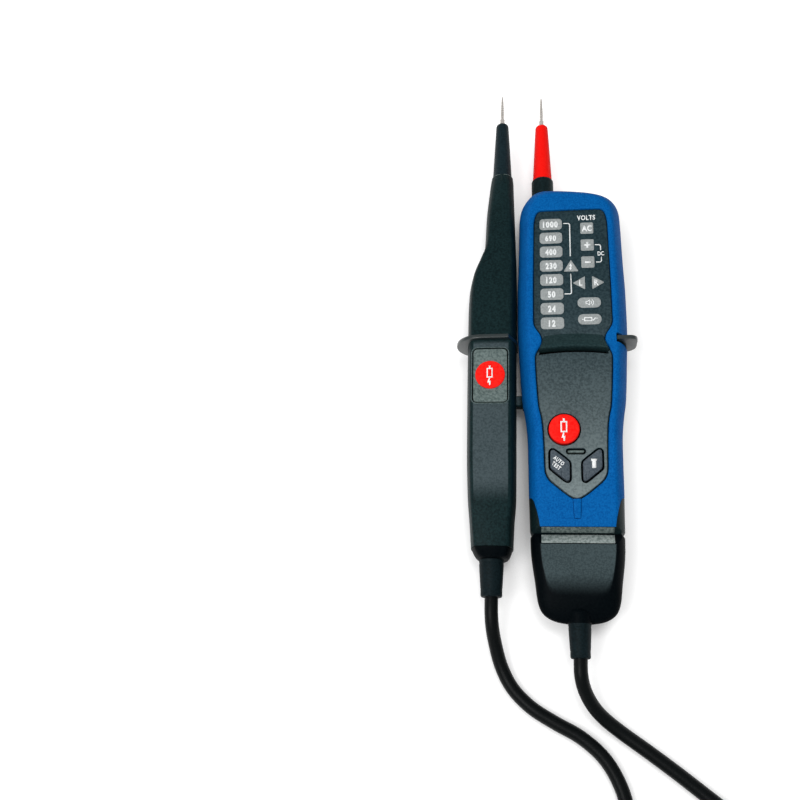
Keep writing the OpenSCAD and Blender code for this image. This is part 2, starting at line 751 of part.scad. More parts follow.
module end_cap() {
    color("#17191a") difference() {
        union() {
            intersection() {
                difference() {
                    union() {
                        front_half(0, 0, fit);
                        rear_half();
                    }
                    intersection() {
                        union() {
                            front_half(wall, wall, over);
                            rear_half(wall, wall, over);
                        }
                        beyond(cap_in_y);
                    }
                }
                short_of(seam_y - fit);
            }
            turned_y([[0, 0], [relief_socket_r, 0], [relief_socket_r, socket_end_y - body_low_y - wall],
                [relief_socket_r * 0.7, socket_end_y - body_low_y], [0, socket_end_y - body_low_y]],
                0, body_low_y - fit, part_h);
        }
        rod_y(relief_neck_r + fit, body_low_y - over, cap_in_y + over, 0, part_h);
        rod_y(relief_flange_r + fit, cap_in_y, socket_end_y + wall, 0, part_h);
        seam_groove();
    }
}

module battery_door() {
    color("#17191a") difference() {
        union() {
            box([-door_half_w, door_low_y, 0], [door_half_w, door_high_y, door_t]);
            for (i = [-2:2]) translate([0, door_high_y - 5 * bay_wall + i * 1.2 * bay_wall, 0])
                box([-door_half_w * 0.5, 0, door_t * 0.2], [door_half_w * 0.5, bay_wall * 0.6, door_t]);
        }
        for (i = [-2:2]) translate([0, door_high_y - 5 * bay_wall + i * 1.2 * bay_wall, 0])
            box([-door_half_w * 0.5, 0, -over], [door_half_w * 0.5, bay_wall * 0.6, door_t * 0.3]);
        translate([0, door_screw_y, -over]) {
            cylinder(r = screw_d / 2 + fit, h = door_t + 2 * over, $fn = small_fn);
            cylinder(r = head_r + fit, h = over + door_t * 0.55, $fn = small_fn);
        }
    }
}

// A pan-headed screw with a cross slot, its head down and its shank up along +Z
module screw(d, length, head_radius, head_height) {
    difference() {
        union() {
            translate([0, 0, -head_height]) cylinder(r = head_radius, h = head_height, $fn = small_fn);
            cylinder(r = d / 2, h = length, $fn = small_fn);
        }
        for (a = [0, 90]) rotate(a) translate([-head_radius * 0.6, -d * 0.09, -head_height - over])
            cube([head_radius * 1.2, d * 0.18, over + head_height * 0.5]);
    }
}

module shell_screws() {
    color("gray") for (p = screw_places) translate([p[0], p[1], head_seat_z])
        screw(screw_d, shell_screw_len, head_r, head_t);
}

module battery_door_screw() {
    color("gray") translate([0, door_screw_y, door_t * 0.55])
        screw(screw_d, part_h * 0.45, head_r, door_t * 0.5);
}

// Electronics

led_r = 0.263 * square_w;
web_under = plate_under - fit - light_web;
led_places = concat(
    [for (i = [0:window_count - 1]) [volt_x, volt_top_y - i * window_pitch]],
    [for (y = square_ys) [right_x, y]],
    [[hazard_x, hazard_y]],
    [for (side = [-1, 1]) [right_x + side * (phase_gap / 2 + triangle_depth * 0.4), phase_y]],
    [for (y = status_ys) [right_x, y]]);
board_low_y = panel_low_y + 0.0225 * key_zone_len;
board_high_y = panel_top_y + 0.02 * top_margin;
board_wide = 0.37 * body_w;
board_slim = 0.295 * body_w;
board_step_y = lower_screw_y - 0.14 * key_zone_len;

module led_board() {
    color("darkgreen") difference() {
        translate([0, 0, board_top - board_t]) linear_extrude(board_t) polygon([
            [board_slim, board_low_y], [board_slim, board_step_y],
            [board_wide, board_step_y + board_slim / 2], [board_wide, board_high_y],
            [-board_wide, board_high_y], [-board_wide, board_step_y + board_slim / 2],
            [-board_slim, board_step_y], [-board_slim, board_low_y]]);
        for (p = screw_places) translate([p[0], p[1], board_top - board_t - over])
            cylinder(r = boss_r + slip, h = board_t + 2 * over, $fn = small_fn);
        for (p = board_screw_places) translate([p[0], p[1], board_top - board_t - over])
            cylinder(r = board_screw_d / 2 + fit, h = board_t + 2 * over, $fn = small_fn);
    }
}

module board_screws() {
    color("gray") for (p = board_screw_places) translate([p[0], p[1], board_top - board_t])
        screw(board_screw_d, board_t + 1.4 * board_screw_d, board_screw_d * 0.9, board_screw_d * 0.6);
}

module display_leds() {
    color("ivory") for (p = led_places) translate([p[0], p[1], board_top])
        cylinder(r = led_r, h = web_under - board_top - slip, $fn = small_fn);
}

switch_w = 4.2;

module tact_switches() {
    color("dimgray") for (p = [[test_x, test_y], [-small_mid_x, small_y], [small_mid_x, small_y]])
        translate([p[0], p[1], board_top]) {
            translate([-switch_w / 2, -switch_w / 2, 0]) cube([switch_w, switch_w, switch_h * 0.6]);
            cylinder(r = switch_w * 0.2, h = switch_h, $fn = small_fn);
        }
}

module sounder() {
    color("black") translate([0.12 * body_w, volt_top_y - 2.5 * window_pitch, board_top - board_t]) {
        translate([0, 0, -switch_w]) difference() {
            cylinder(r = 1.4 * switch_w, h = switch_w, $fn = small_fn);
            translate([0, 0, -over]) cylinder(r = 0.25 * switch_w, h = over + switch_h, $fn = small_fn);
        }
    }
}

module battery_cells() {
    mid_y = bay_low_y + bay_len / 2;
    color("goldenrod") for (side = [-1, 1]) {
        rod_y(cell_d / 2, mid_y - cell_len / 2, mid_y + cell_len / 2 - contact_t * 2,
            side * (cell_d / 2 + slip / 2), cell_z);
        rod_y(cell_d * 0.18, mid_y + cell_len / 2 - contact_t * 2, mid_y + cell_len / 2,
            side * (cell_d / 2 + slip / 2), cell_z, small_fn);
    }
}

module battery_contacts() {
    plate_w = cell_d * 0.8;
    color("silver") for (side = [-1, 1], end = [0, 1]) {
        y = end == 0 ? bay_low_y + fit : bay_low_y + bay_len - fit - contact_t;
        x = side * (cell_d / 2 + slip / 2);
        box([x - plate_w / 2, y, cell_z - plate_w / 2], [x + plate_w / 2, y + contact_t, cell_z + plate_w / 2]);
        bump_y = end == 0 ? y + contact_t : y - contact_t * 0.6;
        rod_y(cell_d * 0.16, bump_y, bump_y + contact_t * 0.6, x, cell_z, small_fn);
    }
}

module torch_led() {
    color("lightyellow") turned_y([[0, 0], [torch_d * 0.5, 0], [torch_d * 0.5, torch_d * 0.2],
        [torch_d * 0.42, torch_d * 0.2], [torch_d * 0.42, torch_d], [torch_d * 0.25, torch_d * 1.25],
        [0, torch_d * 1.35]], torch_x, torch_back_y, torch_z, small_fn);
}

module torch_lens() {
    color("lightyellow") turned_y([[0, 0], [torch_d / 2, 0], [torch_d / 2, torch_d * 0.9],
        [torch_d * 0.3, torch_d * 1.05], [0, torch_d * 1.1]], torch_x, torch_front_y - torch_d, torch_z,
        small_fn);
}

// Needles, sleeves and strain reliefs

module tip_collar() {
    r = collar_d / 2;
    bore = needle_d / 2 + fit;
    length = tip_seat_y - collar_in_y;
    color("#17191a") turned_y([[bore, -wall], [collar_flange_r, -wall], [collar_flange_r, -fit], [r, -fit],
        [r, length - r * 0.15], [r - r * 0.15, length], [bore, length]], tip_x, collar_in_y, tip_z);
}

// Insulating sleeve: a long cone with a round front edge, bored for the needle's rod
module sleeve(x, y, z, plug_r, plug_len) {
    bore = needle_d / 2 + fit;
    tip_r = sleeve_tip_d / 2;
    root_r = sleeve_root_d / 2;
    edge = tip_r * 0.55;
    turned_y(concat(
        [[bore, -plug_len], [plug_r, -plug_len], [plug_r, 0], [root_r, 0]],
        [for (a = [0:18:90]) [tip_r - edge + edge * cos(a), sleeve_len - edge + edge * sin(a)]],
        [[bore, sleeve_len]]), x, y, z);
}

// Needle: rod, ferrule and long point
module needle(x, y, z, rod_len) {
    r = needle_d / 2;
    turned_y([[0, -rod_len], [r, -rod_len], [r, sleeve_len + ferrule_len * 0.9],
        [r * 0.85, sleeve_len + ferrule_len], [r * 0.78, sleeve_len + ferrule_len],
        [r * 0.62, sleeve_len + ferrule_len + point_len * 0.55],
        [r * 0.12, sleeve_len + ferrule_len + point_len * 0.99],
        [0, sleeve_len + ferrule_len + point_len]], x, y, z, small_fn);
}

module red_sleeve() {
    color("red") sleeve(tip_x, tip_seat_y + fit, tip_z, needle_d / 2 + 3 * fit, fit / 2);
}

module main_needle() {
    color("silver") needle(tip_x, tip_seat_y + fit, tip_z, tip_seat_y - collar_in_y + 2 * wall);
}

// Moulded on the lead: a neck through the wall with a flange behind it, and a tapering sleeve outside
module strain_relief(x, y, z, length, root_r, end_r, flange_in) {
    edge = end_r * 0.22;
    color("#17191a") turned_y([[0, length], [0, -flange_in - wall], [relief_flange_r, -flange_in - wall],
        [relief_flange_r, -flange_in - fit], [relief_neck_r, -flange_in - fit], [relief_neck_r, 0],
        [root_r, 0], [end_r + edge * 0.4, length * 0.86], [end_r, length - edge * 0.3],
        [end_r - edge, length]], x, y, z);
}

module main_strain_relief() {
    mirror([0, 1, 0]) strain_relief(0, fit - body_low_y, part_h, relief_len - fit, relief_root_r,
        lead_d * 0.72, cap_in_y - body_low_y + fit);
}

// Hand probe

probe_z = 12 / 24 * probe_h;
probe_part_z = probe_z + 0.04 * probe_h;
dock_gap = 0.3;
needle_gap = body_w / 2 + tip_x + 0.303 * probe_w + dock_gap;
probe_tip_x = tip_x - needle_gap;
probe_seam_y = seam_y - 0.115 * cap_len;
probe_top_y = probe_seam_y + probe_len;
probe_mid_x = probe_tip_x - 0.206 * probe_w;
probe_cap_len = 6.1;

// Sections of the probe along its length: share of the length, left and right sides as shares of the
// width from the needle's axis, bottom and top as shares of the height, and how square it is
probe_shares = [
    [0.000, -0.580, 0.193, 0.125, 0.875, 0.80], [0.050, -0.631, 0.234, 0.067, 0.933, 1],
    [0.112, -0.672, 0.271, 0.025, 0.975, 1], [0.230, -0.700, 0.280, 0, 1, 1],
    [0.465, -0.708, 0.289, 0, 1, 1], [0.590, -0.704, 0.303, 0, 1, 1],
    [0.642, -0.690, 0.307, 0.020, 0.985, 1], [0.696, -0.620, 0.303, 0.065, 0.955, 1],
    [0.745, -0.470, 0.298, 0.130, 0.920, 1], [0.782, -0.370, 0.289, 0.185, 0.900, 0.95],
    [0.800, -0.362, 0.285, 0.200, 0.890, 0.85], [0.877, -0.335, 0.266, 0.242, 0.848, 0.6],
    [0.950, -0.280, 0.250, 0.292, 0.795, 0.35], [0.985, -0.248, 0.243, 0.315, 0.770, 0.1],
    [1.000, -0.228, 0.228, 0.335, 0.750, 0]];

// A quarter of the squared section, from its side to its top, and the angles of the round one
quarter_shares = [[1, 0.06], [0.965, 0.42], [0.90, 0.72], [0.83, 0.91], [0.74, 0.985], [0.60, 1]];
quarter_angles = [3, 24, 42, 56, 68, 80];

function quarter_point(i, square) =
    [cos(quarter_angles[i]), sin(quarter_angles[i])] * (1 - square) + quarter_shares[i] * square;

// Section anticlockwise seen from the needle end, so that it mirrors about its own upright middle
function probe_ring(row, skin, y) =
    let (x0 = probe_tip_x + probe_w * row[1] + skin, x1 = probe_tip_x + probe_w * row[2] - skin,
        z0 = probe_h * row[3] + skin, z1 = probe_h * row[4] - skin,
        mid = [(x0 + x1) / 2, (z0 + z1) / 2], half = [(x1 - x0) / 2, (z1 - z0) / 2],
        q = [for (i = [0:5]) quarter_point(i, row[5])],
        right = concat(backwards([for (p = q) [p[0], -p[1]]]), q),
        left = backwards([for (p = right) [-p[0], p[1]]]))
    [for (p = concat(right, left)) [mid[0] + half[0] * p[0], y, mid[1] + half[1] * p[1]]];

function probe_y(share) = probe_seam_y + share * probe_len;

module probe_solid(skin = 0) {
    rings = [for (row = backwards(probe_shares)) probe_ring(row, skin, probe_y(row[0]))];
    skin_through(rings);
}

// Finger guard of the probe: a thin plate across, with a round ear on the left
probe_guard_t = 1.8;
probe_guard_y = fall_y + 0.94 * probe_guard_t;
probe_guard_rise = 2.6;
probe_guard_side = 0.25;
probe_ear_out = 4.8;
probe_ear_r = 11.4;
probe_left_x = probe_tip_x - 0.704 * probe_w;
probe_right_x = probe_tip_x + 0.303 * probe_w;

module probe_guard() {
    top = probe_h + probe_guard_rise;
    ear_x = probe_left_x - probe_ear_out;
    translate([0, probe_guard_y, 0]) rotate([90, 0, 0]) linear_extrude(probe_guard_t) {
        intersection() {
            translate([ear_x + probe_ear_r, top - probe_ear_r]) circle(r = probe_ear_r, $fn = round_fn);
            translate([ear_x, 0]) square([probe_ear_r, top]);
        }
        polygon([[probe_left_x + wall / 2, probe_h / 3], [probe_right_x + probe_guard_side, probe_h / 3],
            [probe_right_x + probe_guard_side, probe_h * 0.75], [probe_right_x - 0.16 * probe_w, top],
            [probe_left_x + 0.05 * probe_w, top]]);
    }
}

// Key pad of the probe
pad_mid_y = fall_y - 0.684 * pad_len;
pad_round = 1.8;
pad_rise = 0.35;
rim_w = 0.75;
rim_rise = 0.5;
disc_rise = 0.7;
probe_plate = 1.8;
probe_nub_len = 1;
probe_board_top = probe_h - probe_plate - 2 * slip - flange_t - probe_nub_len - travel - switch_h;

module pad_plan(grow = 0) {
    translate([probe_mid_x, pad_mid_y]) round_rect(pad_w + 2 * grow, pad_len + 2 * grow, pad_round + grow);
}

probe_screw_places = [[probe_mid_x, probe_y(0.095)], [probe_mid_x, probe_y(0.60)],
    [probe_tip_x - 0.04 * probe_w, probe_y(0.86)]];
probe_screw_z = [probe_h * 0.06 + head_t + wall / 2, head_t + wall / 2, probe_h * 0.24 + head_t + wall / 2];
probe_bore_d = 0.66 * sleeve_root_d;

module probe_bosses() {
    for (p = probe_screw_places) translate([p[0], p[1], 0])
        cylinder(r = head_r + bay_wall, h = probe_h, $fn = small_fn);
}

module probe_cuts() {
    for (i = [0:2]) translate([probe_screw_places[i][0], probe_screw_places[i][1], 0]) {
        translate([0, 0, -over]) cylinder(r = head_r + slip, h = over + probe_screw_z[i], $fn = small_fn);
        cylinder(r = screw_d / 2 + fit, h = probe_part_z + 2 * screw_d, $fn = small_fn);
    }
    rod_y(probe_bore_d / 2 + fit, probe_top_y - 3 * wall, probe_top_y + over, probe_tip_x, probe_part_z);
    rod_y(relief_neck_r + fit, probe_seam_y - over, probe_seam_y + 3 * wall, probe_mid_x, probe_z);
}

module probe_housing() {
    difference() {
        union() {
            difference() {
                probe_solid();
                probe_hollow();
            }
            difference() {
                probe_guard();
                probe_hollow();
            }
            intersection() {
                probe_solid(fit);
                probe_bosses();
            }
            intersection() {
                translate([0, 0, probe_h - probe_plate]) linear_extrude(probe_plate + rim_rise)
                    pad_plan(rim_w + slip);
                translate([probe_left_x, pad_mid_y - pad_len, 0])
                    cube([probe_w, 2 * pad_len, probe_h + rim_rise]);
            }
        }
        probe_cuts();
        translate([0, 0, probe_board_top]) linear_extrude(probe_h) pad_plan(slip);
        translate([0, 0, probe_board_top]) linear_extrude(probe_h - probe_plate - probe_board_top)
            pad_plan(2 * slip + flange_w / 2);
    }
}

module probe_hollow() {
    intersection() {
        probe_solid(wall);
        box([probe_left_x, probe_seam_y + 2 * wall, 0],
            [probe_right_x + wall, probe_top_y - 2 * wall, probe_h]);
    }
}

module probe_front_shell() {
    color("#1c1f20") intersection() {
        probe_housing();
        box([probe_left_x - probe_ear_r, probe_seam_y, probe_part_z + fit / 2],
            [probe_right_x + probe_ear_r, probe_top_y + over, 2 * probe_h]);
    }
}

module probe_rear_shell() {
    color("#1c1f20") {
        intersection() {
            probe_housing();
            box([probe_left_x - probe_ear_r, probe_seam_y, -over],
                [probe_right_x + probe_ear_r, probe_top_y + over, probe_part_z - fit / 2]);
        }
        difference() {
            box([probe_right_x - wall, peg_low_y, peg_low_z],
                [peg_in_x, peg_low_y + peg_w, min(peg_high_z, probe_part_z - fit)]);
            probe_solid(wall / 2);
        }
    }
}

probe_nub_z = probe_board_top + switch_h + travel + slip;

module probe_key_pad() {
    under = probe_h - probe_plate - slip;
    color("dimgray") {
        translate([0, 0, under]) linear_extrude(probe_h + pad_rise - under) pad_plan();
        translate([0, 0, under - flange_t]) linear_extrude(flange_t) pad_plan(slip + flange_w / 2);
        translate([probe_mid_x, pad_mid_y, probe_nub_z])
            cylinder(r = nub_r, h = under - probe_nub_z, $fn = small_fn);
    }
}

module probe_key_disc() {
    r = disc_d / 2;
    color("red") translate([probe_mid_x, pad_mid_y + 0.02 * pad_len, probe_h + pad_rise])
        rotate_extrude($fn = round_fn) polygon([[0, 0], [r, 0], [r, disc_rise * 0.5],
            [r - disc_rise * 0.5, disc_rise], [0, disc_rise]]);
}

module probe_board() {
    low_y = probe_y(0.13);
    high_y = probe_y(0.56);
    half = probe_w * 0.33;
    color("darkgreen") box([probe_mid_x - half, low_y, probe_board_top - board_t],
        [probe_mid_x + half, high_y, probe_board_top]);
}

module probe_switch() {
    color("dimgray") translate([probe_mid_x, pad_mid_y, probe_board_top]) {
        translate([-switch_w / 2, -switch_w / 2, 0]) cube([switch_w, switch_w, switch_h * 0.6]);
        cylinder(r = switch_w * 0.2, h = switch_h, $fn = small_fn);
    }
}

module probe_screws() {
    color("gray") for (i = [0:2])
        translate([probe_screw_places[i][0], probe_screw_places[i][1], probe_screw_z[i]])
            screw(screw_d, probe_part_z + 1.8 * screw_d - probe_screw_z[i], head_r, head_t);
}

module probe_sleeve() {
    color("#17191a") sleeve(probe_tip_x, probe_top_y + fit, probe_part_z, probe_bore_d / 2, 2.6 * wall);
}

module probe_needle() {
    color("silver") needle(probe_tip_x, probe_top_y + fit, probe_part_z, 5 * wall);
}

module probe_end_cap() {
    first = probe_ring(probe_shares[0], 0, probe_seam_y - fit);
    near = probe_ring([0, -0.560, 0.175, 0.145, 0.855, 0.80], 0, probe_seam_y - 0.2 * probe_cap_len);
    last = probe_ring([0, -0.451, 0.106, 0.23, 0.77, 0.6], 0, probe_seam_y - probe_cap_len);
    color("#17191a") difference() {
        skin_through([first, near, last]);
        rod_y(relief_neck_r + fit, probe_seam_y - probe_cap_len - over, probe_seam_y + over,
            probe_mid_x, probe_z);
    }
}

module probe_strain_relief() {
    mirror([0, 1, 0]) strain_relief(probe_mid_x, probe_cap_len - probe_seam_y, probe_z,
        probe_relief_len, 1.08 * relief_root_r, lead_d * 0.74, probe_cap_len + 2 * wall);
}

// Lead: hand-placed routes of the two loose stretches, from each strain relief to the coil, in mm

coil_centre = [55, -212];
coil_lift = 3.9;
coil_start = 180;
coil_turns = 4.653;
coil_out_r = 36.5;
coil_pitch = lead_d + 0.7;
coil_steps = 24;
coil_sides = 6;
lead_sides = 8;
main_end_y = body_low_y - relief_len;
probe_end_y = probe_seam_y - probe_cap_len - probe_relief_len;

probe_route = [[-35.5, -92.4, 12], [-35.2, -98, 10.4], [-34, -105, 6.8], [-31.6, -113.5, 3.7],
    [-27.4, -121.4, 2.8], [-20, -128.7, 2.8], [-10.6, -134.3, 2.8], [0, -139.8, 2.8],
    [9, -147.6, 2.8], [15, -158.5, 2.8], [17.6, -171, 2.8], [18.4, -184, 3], [18.5, -196, 3.6]];
main_route = [[0, -116.2, 13.8], [1.2, -121.6, 11.2], [4.2, -127.2, 7.6], [8.4, -131.8, 4.6],
    [15.5, -137.2, 2.9], [25.5, -144, 2.8], [36, -151.4, 2.8], [46.5, -159.2, 3],
    [57, -167.2, 5], [66, -174.3, 8.6]];

// Middle line of the coil: in on the lower layer, up a layer as it turns back, out on the upper one
function smooth(u) = let (c = max(0, min(1, u))) c * c * (3 - 2 * c);
function coil_at(turn) =
    let (half = coil_turns / 2, r = coil_out_r - coil_pitch * min(turn, coil_turns - turn),
        a = coil_start + 360 * turn)
    [coil_centre[0] + r * cos(a), coil_centre[1] + r * sin(a),
        coil_lift + coil_pitch * smooth((turn - half + 0.25) * 2)];
coil_count = round(coil_turns * coil_steps);
coil_points = [for (i = [0:coil_count]) coil_at(coil_turns * i / coil_count)];
coil_entry_dir = [0, -1, 0];
coil_exit_dir = [-sin(coil_start + 360 * coil_turns), cos(coil_start + 360 * coil_turns), 0];
coil_path = concat([coil_points[0] - lead_d * coil_entry_dir], coil_points,
    [coil_points[coil_count] + lead_d * coil_exit_dir]);
coil_min_gap = min([for (i = [0:coil_count - 13], j = [i + 13:coil_count])
    norm(coil_points[i] - coil_points[j])]) - lead_d;
echo(coil_min_gap = coil_min_gap);
function route_length(path) = [for (i = [1:len(path) - 1]) norm(path[i] - path[i - 1])]
    * [for (i = [1:len(path) - 1]) 1];

// Straight ends, then the route's own points
probe_path = concat([[probe_mid_x, probe_end_y, probe_z]], probe_route, [coil_path[0]]);
main_path = concat([[0, main_end_y, part_h]], main_route, [coil_path[len(coil_path) - 1]]);
echo(lead_length = route_length(probe_path) + route_length(coil_path) + route_length(main_path));

// A round tube along a path: rings square to it, with its two ends closed; the directions of the
// first and last rings are given
function path_dir(path, i, first, last) =
    i == 0 ? first : i == len(path) - 1 ? last
        : let (d = path[i + 1] - path[i - 1]) d / norm(d);
module tube(path, r, sides, first, last) {
    n = len(path);
    turn = 180 / sides;
    points = [for (i = [0:n - 1])
        let (t = path_dir(path, i, first, last), s = cross(t, [0, 0, 1]) / norm(cross(t, [0, 0, 1])),
            u = cross(s, t))
        each [for (k = [0:sides - 1]) let (a = turn + 360 * k / sides)
            path[i] + r * cos(a) * s + r * sin(a) * u]];
    polyhedron(points = points, faces = concat(
        [for (i = [0:n - 2], k = [0:sides - 1]) each
            let (a = i * sides + k, b = i * sides + (k + 1) % sides)
            [[a, b, b + sides], [a, b + sides, a + sides]]],
        [for (k = [1:sides - 2]) [0, k + 1, k]],
        [for (k = [1:sides - 2]) [(n - 1) * sides, (n - 1) * sides + k, (n - 1) * sides + k + 1]]));
}

module probe_lead() {
    color("#101112") tube(probe_path, lead_d / 2, lead_sides, [0, -1, 0], coil_entry_dir);
}

module main_lead() {
    color("#101112") tube(main_path, lead_d / 2, lead_sides, [0, -1, 0], -coil_exit_dir);
}

module cord_coil() {
    color("#101112") tube(coil_path, lead_d / 2, coil_sides, coil_entry_dir, coil_exit_dir);
}

// A flat tie round the coil's turns, at its side away from the tester
tie_w = 1.5 * lead_d;
tie_t = 0.16 * lead_d;

module cord_tie() {
    in_r = coil_out_r - coil_pitch * coil_turns / 2 - lead_d / 2 - slip;
    out_r = coil_out_r + lead_d / 2 - 0.25 * coil_pitch + slip;
    top = coil_lift + coil_pitch + lead_d / 2 + slip;
    color("black") translate([coil_centre[0], coil_centre[1], 0]) difference() {
        box([-tie_w / 2, -out_r - tie_t, 0], [tie_w / 2, -in_r + tie_t, top + tie_t]);
        box([-tie_w, -out_r, tie_t], [tie_w, -in_r, top]);
    }
}

front_shell();
front_grip();
rear_shell();
end_cap();
battery_door();
battery_door_screw();
shell_screws();
volt_lenses();
polarity_lenses();
hazard_lens();
phase_lenses();
status_lenses();
indicator_bar();
led_board();
board_screws();
display_leds();
tact_switches();
sounder();
battery_cells();
battery_contacts();
torch_led();
torch_lens();
test_button();
auto_button();
torch_button();
tip_collar();
red_sleeve();
main_needle();
main_strain_relief();
probe_front_shell();
probe_rear_shell();
probe_key_pad();
probe_key_disc();
probe_board();
probe_switch();
probe_screws();
probe_sleeve();
probe_needle();
probe_end_cap();
probe_strain_relief();
probe_lead();
main_lead();
cord_coil();
cord_tie();
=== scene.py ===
"""Two-pole high voltage tester: display unit, docked hand probe and the rubber lead between them.

Shapes are worked out in millimetres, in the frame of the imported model: +Y towards the needles,
+Z out of the face, the origin on the display unit's flat back. They become metres in the mesh.
"""
import math

import bmesh
import bpy
import numpy as np
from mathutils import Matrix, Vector
from mathutils.geometry import delaunay_2d_cdt


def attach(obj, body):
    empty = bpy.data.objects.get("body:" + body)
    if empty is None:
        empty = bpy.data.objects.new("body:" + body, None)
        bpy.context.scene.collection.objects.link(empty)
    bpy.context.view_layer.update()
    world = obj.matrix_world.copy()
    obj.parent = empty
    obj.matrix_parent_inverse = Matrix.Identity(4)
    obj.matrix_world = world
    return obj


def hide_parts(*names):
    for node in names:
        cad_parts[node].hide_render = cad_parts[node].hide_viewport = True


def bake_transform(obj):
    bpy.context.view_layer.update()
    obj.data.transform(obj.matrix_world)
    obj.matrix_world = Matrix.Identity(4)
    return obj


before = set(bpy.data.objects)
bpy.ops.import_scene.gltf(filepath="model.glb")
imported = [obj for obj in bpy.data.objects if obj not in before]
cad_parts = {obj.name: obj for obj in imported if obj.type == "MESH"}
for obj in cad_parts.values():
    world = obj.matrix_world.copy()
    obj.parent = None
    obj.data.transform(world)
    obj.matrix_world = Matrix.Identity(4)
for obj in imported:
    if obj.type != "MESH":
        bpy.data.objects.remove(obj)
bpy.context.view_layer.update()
MM = 0.001

# --- Sizes of the display unit, as in the part's source ---
CAP_LEN, APRON_LEN, KEY_ZONE_LEN, TOP_MARGIN = 36.0, 14.4, 70.6, 15.2
PANEL_W, PANEL_SINK, WINDOW_H, PITCH = 34.0, 0.7, 5.6, 7.0
BODY_W, FACE_H, PART_H, FACE_RISE = 48.2, 28.0, 13.98, 4.64
HALF_W = BODY_W / 2
COLUMN_LEN = 7 * PITCH
DISPLAY_LEN = COLUMN_LEN + 2.3 * WINDOW_H
BODY_LEN = CAP_LEN + APRON_LEN + KEY_ZONE_LEN + DISPLAY_LEN + TOP_MARGIN
LOW_Y = -0.49 * BODY_LEN
SEAM_Y = LOW_Y + CAP_LEN
PANEL_LOW_Y = SEAM_Y + APRON_LEN
FALL_Y = PANEL_LOW_Y + KEY_ZONE_LEN
PANEL_TOP_Y = FALL_Y + DISPLAY_LEN
TOP_Y = LOW_Y + BODY_LEN
KEYS_Y = PANEL_LOW_Y + 0.3945 * PANEL_W
FACE_FALL = FACE_RISE / (FALL_Y - KEYS_Y)
TILT = math.atan(FACE_FALL)
SEAM_DEPTH = 3.3
TIP_X, TIP_Z, TIP_SEAT_Y = -0.249 * BODY_W, 0.93 * PART_H, TOP_Y + 9.5
SLEEVE_LEN, SLEEVE_ROOT_R, SLEEVE_TIP_R, COLLAR_R = 31.0, 4.5, 3.0, 5.1
NEEDLE_R, FERRULE_LEN, POINT_LEN = 1.18, 3.1, 14.0
LEAD_D = 5.6
# --- Sizes of the hand probe ---
PROBE_W, PROBE_H, PROBE_LEN = 21.8, 24.0, 177.8
PROBE_TIP_X = TIP_X - 19
PROBE_SEAM_Y = SEAM_Y - 0.115 * CAP_LEN
PROBE_TOP_Y = PROBE_SEAM_Y + PROBE_LEN
PROBE_MID_X = PROBE_TIP_X - 0.206 * PROBE_W
PROBE_MID_Z = PROBE_H / 2
PROBE_PART_Z = PROBE_MID_Z + 0.04 * PROBE_H

# Half-width and place along the housing of its parting edge, then of its flat face's edge, as shares
SIDE_SHARES = [
    [0.190, 0.000, 0.145, 0.052], [0.456, 0.007, 0.315, 0.059], [0.606, 0.020, 0.427, 0.068],
    [0.676, 0.038, 0.506, 0.081], [0.734, 0.086, 0.577, 0.106], [0.788, 0.136, 0.618, 0.141],
    [0.803, 0.182, 0.631, 0.182], [0.813, 0.237, 0.639, 0.237], [0.822, 0.280, 0.643, 0.280],
    [0.826, 0.338, 0.643, 0.338], [0.838, 0.399, 0.651, 0.399], [0.871, 0.439, 0.672, 0.439],
    [0.917, 0.475, 0.705, 0.475], [0.946, 0.520, 0.730, 0.520], [0.967, 0.566, 0.747, 0.566],
    [0.996, 0.631, 0.768, 0.631], [1.000, 0.692, 0.772, 0.692], [0.996, 0.747, 0.768, 0.747],
    [0.979, 0.803, 0.759, 0.803], [0.967, 0.859, 0.751, 0.859], [0.959, 0.904, 0.743, 0.894]]
RIGHT_TOP_SHARES = [
    [0.942, 0.937, 0.726, 0.914], [0.896, 0.954, 0.697, 0.929], [0.797, 0.969, 0.631, 0.942],
    [0.651, 0.980, 0.523, 0.951], [0.411, 0.989, 0.332, 0.958], [0.145, 0.995, 0.124, 0.961]]
LEFT_TOP_SHARES = [
    [0.950, 0.937, 0.730, 0.917], [0.921, 0.955, 0.705, 0.934], [0.842, 0.974, 0.647, 0.949],
    [0.718, 0.992, 0.548, 0.959], [0.581, 1.000, 0.436, 0.964], [0.311, 1.000, 0.249, 0.965]]
FRONT_LEVELS = [[0, 0], [0.30, 0.08], [0.58, 0.27], [0.82, 0.56], [0.95, 0.80], [1, 1]]
REAR_LEVELS = [[0, 0], [0.40, 0.08], [0.75, 0.28], [0.93, 0.56], [1, 0.82]]
PANEL_SHARES = [
    [0, -0.011], [0.235, 0.006], [0.659, 0.051], [0.745, 0.070], [0.773, 0.090], [0.782, 0.156],
    [0.806, 0.228], [0.841, 0.262], [0.900, 0.292], [0.935, 0.352], [0.965, 0.428], [0.971, 0.469],
    [0.794, 0.503], [0.794, 0.529], [1.000, 0.570], [0.994, 0.692], [0.976, 0.820], [0.959, 0.950],
    [0.930, 0.974], [0.880, 0.991], [0.800, 1]]
KEY_SHARES = [
    [0.141, 0.08], [0.20, 0.14], [0.49, 0.375], [0.56, 0.415], [0.62, 0.39], [0.644, 0.33],
    [0.644, -0.06], [0.62, -0.10], [0.29, -0.375], [0.22, -0.415], [0.16, -0.39], [0.141, -0.33]]
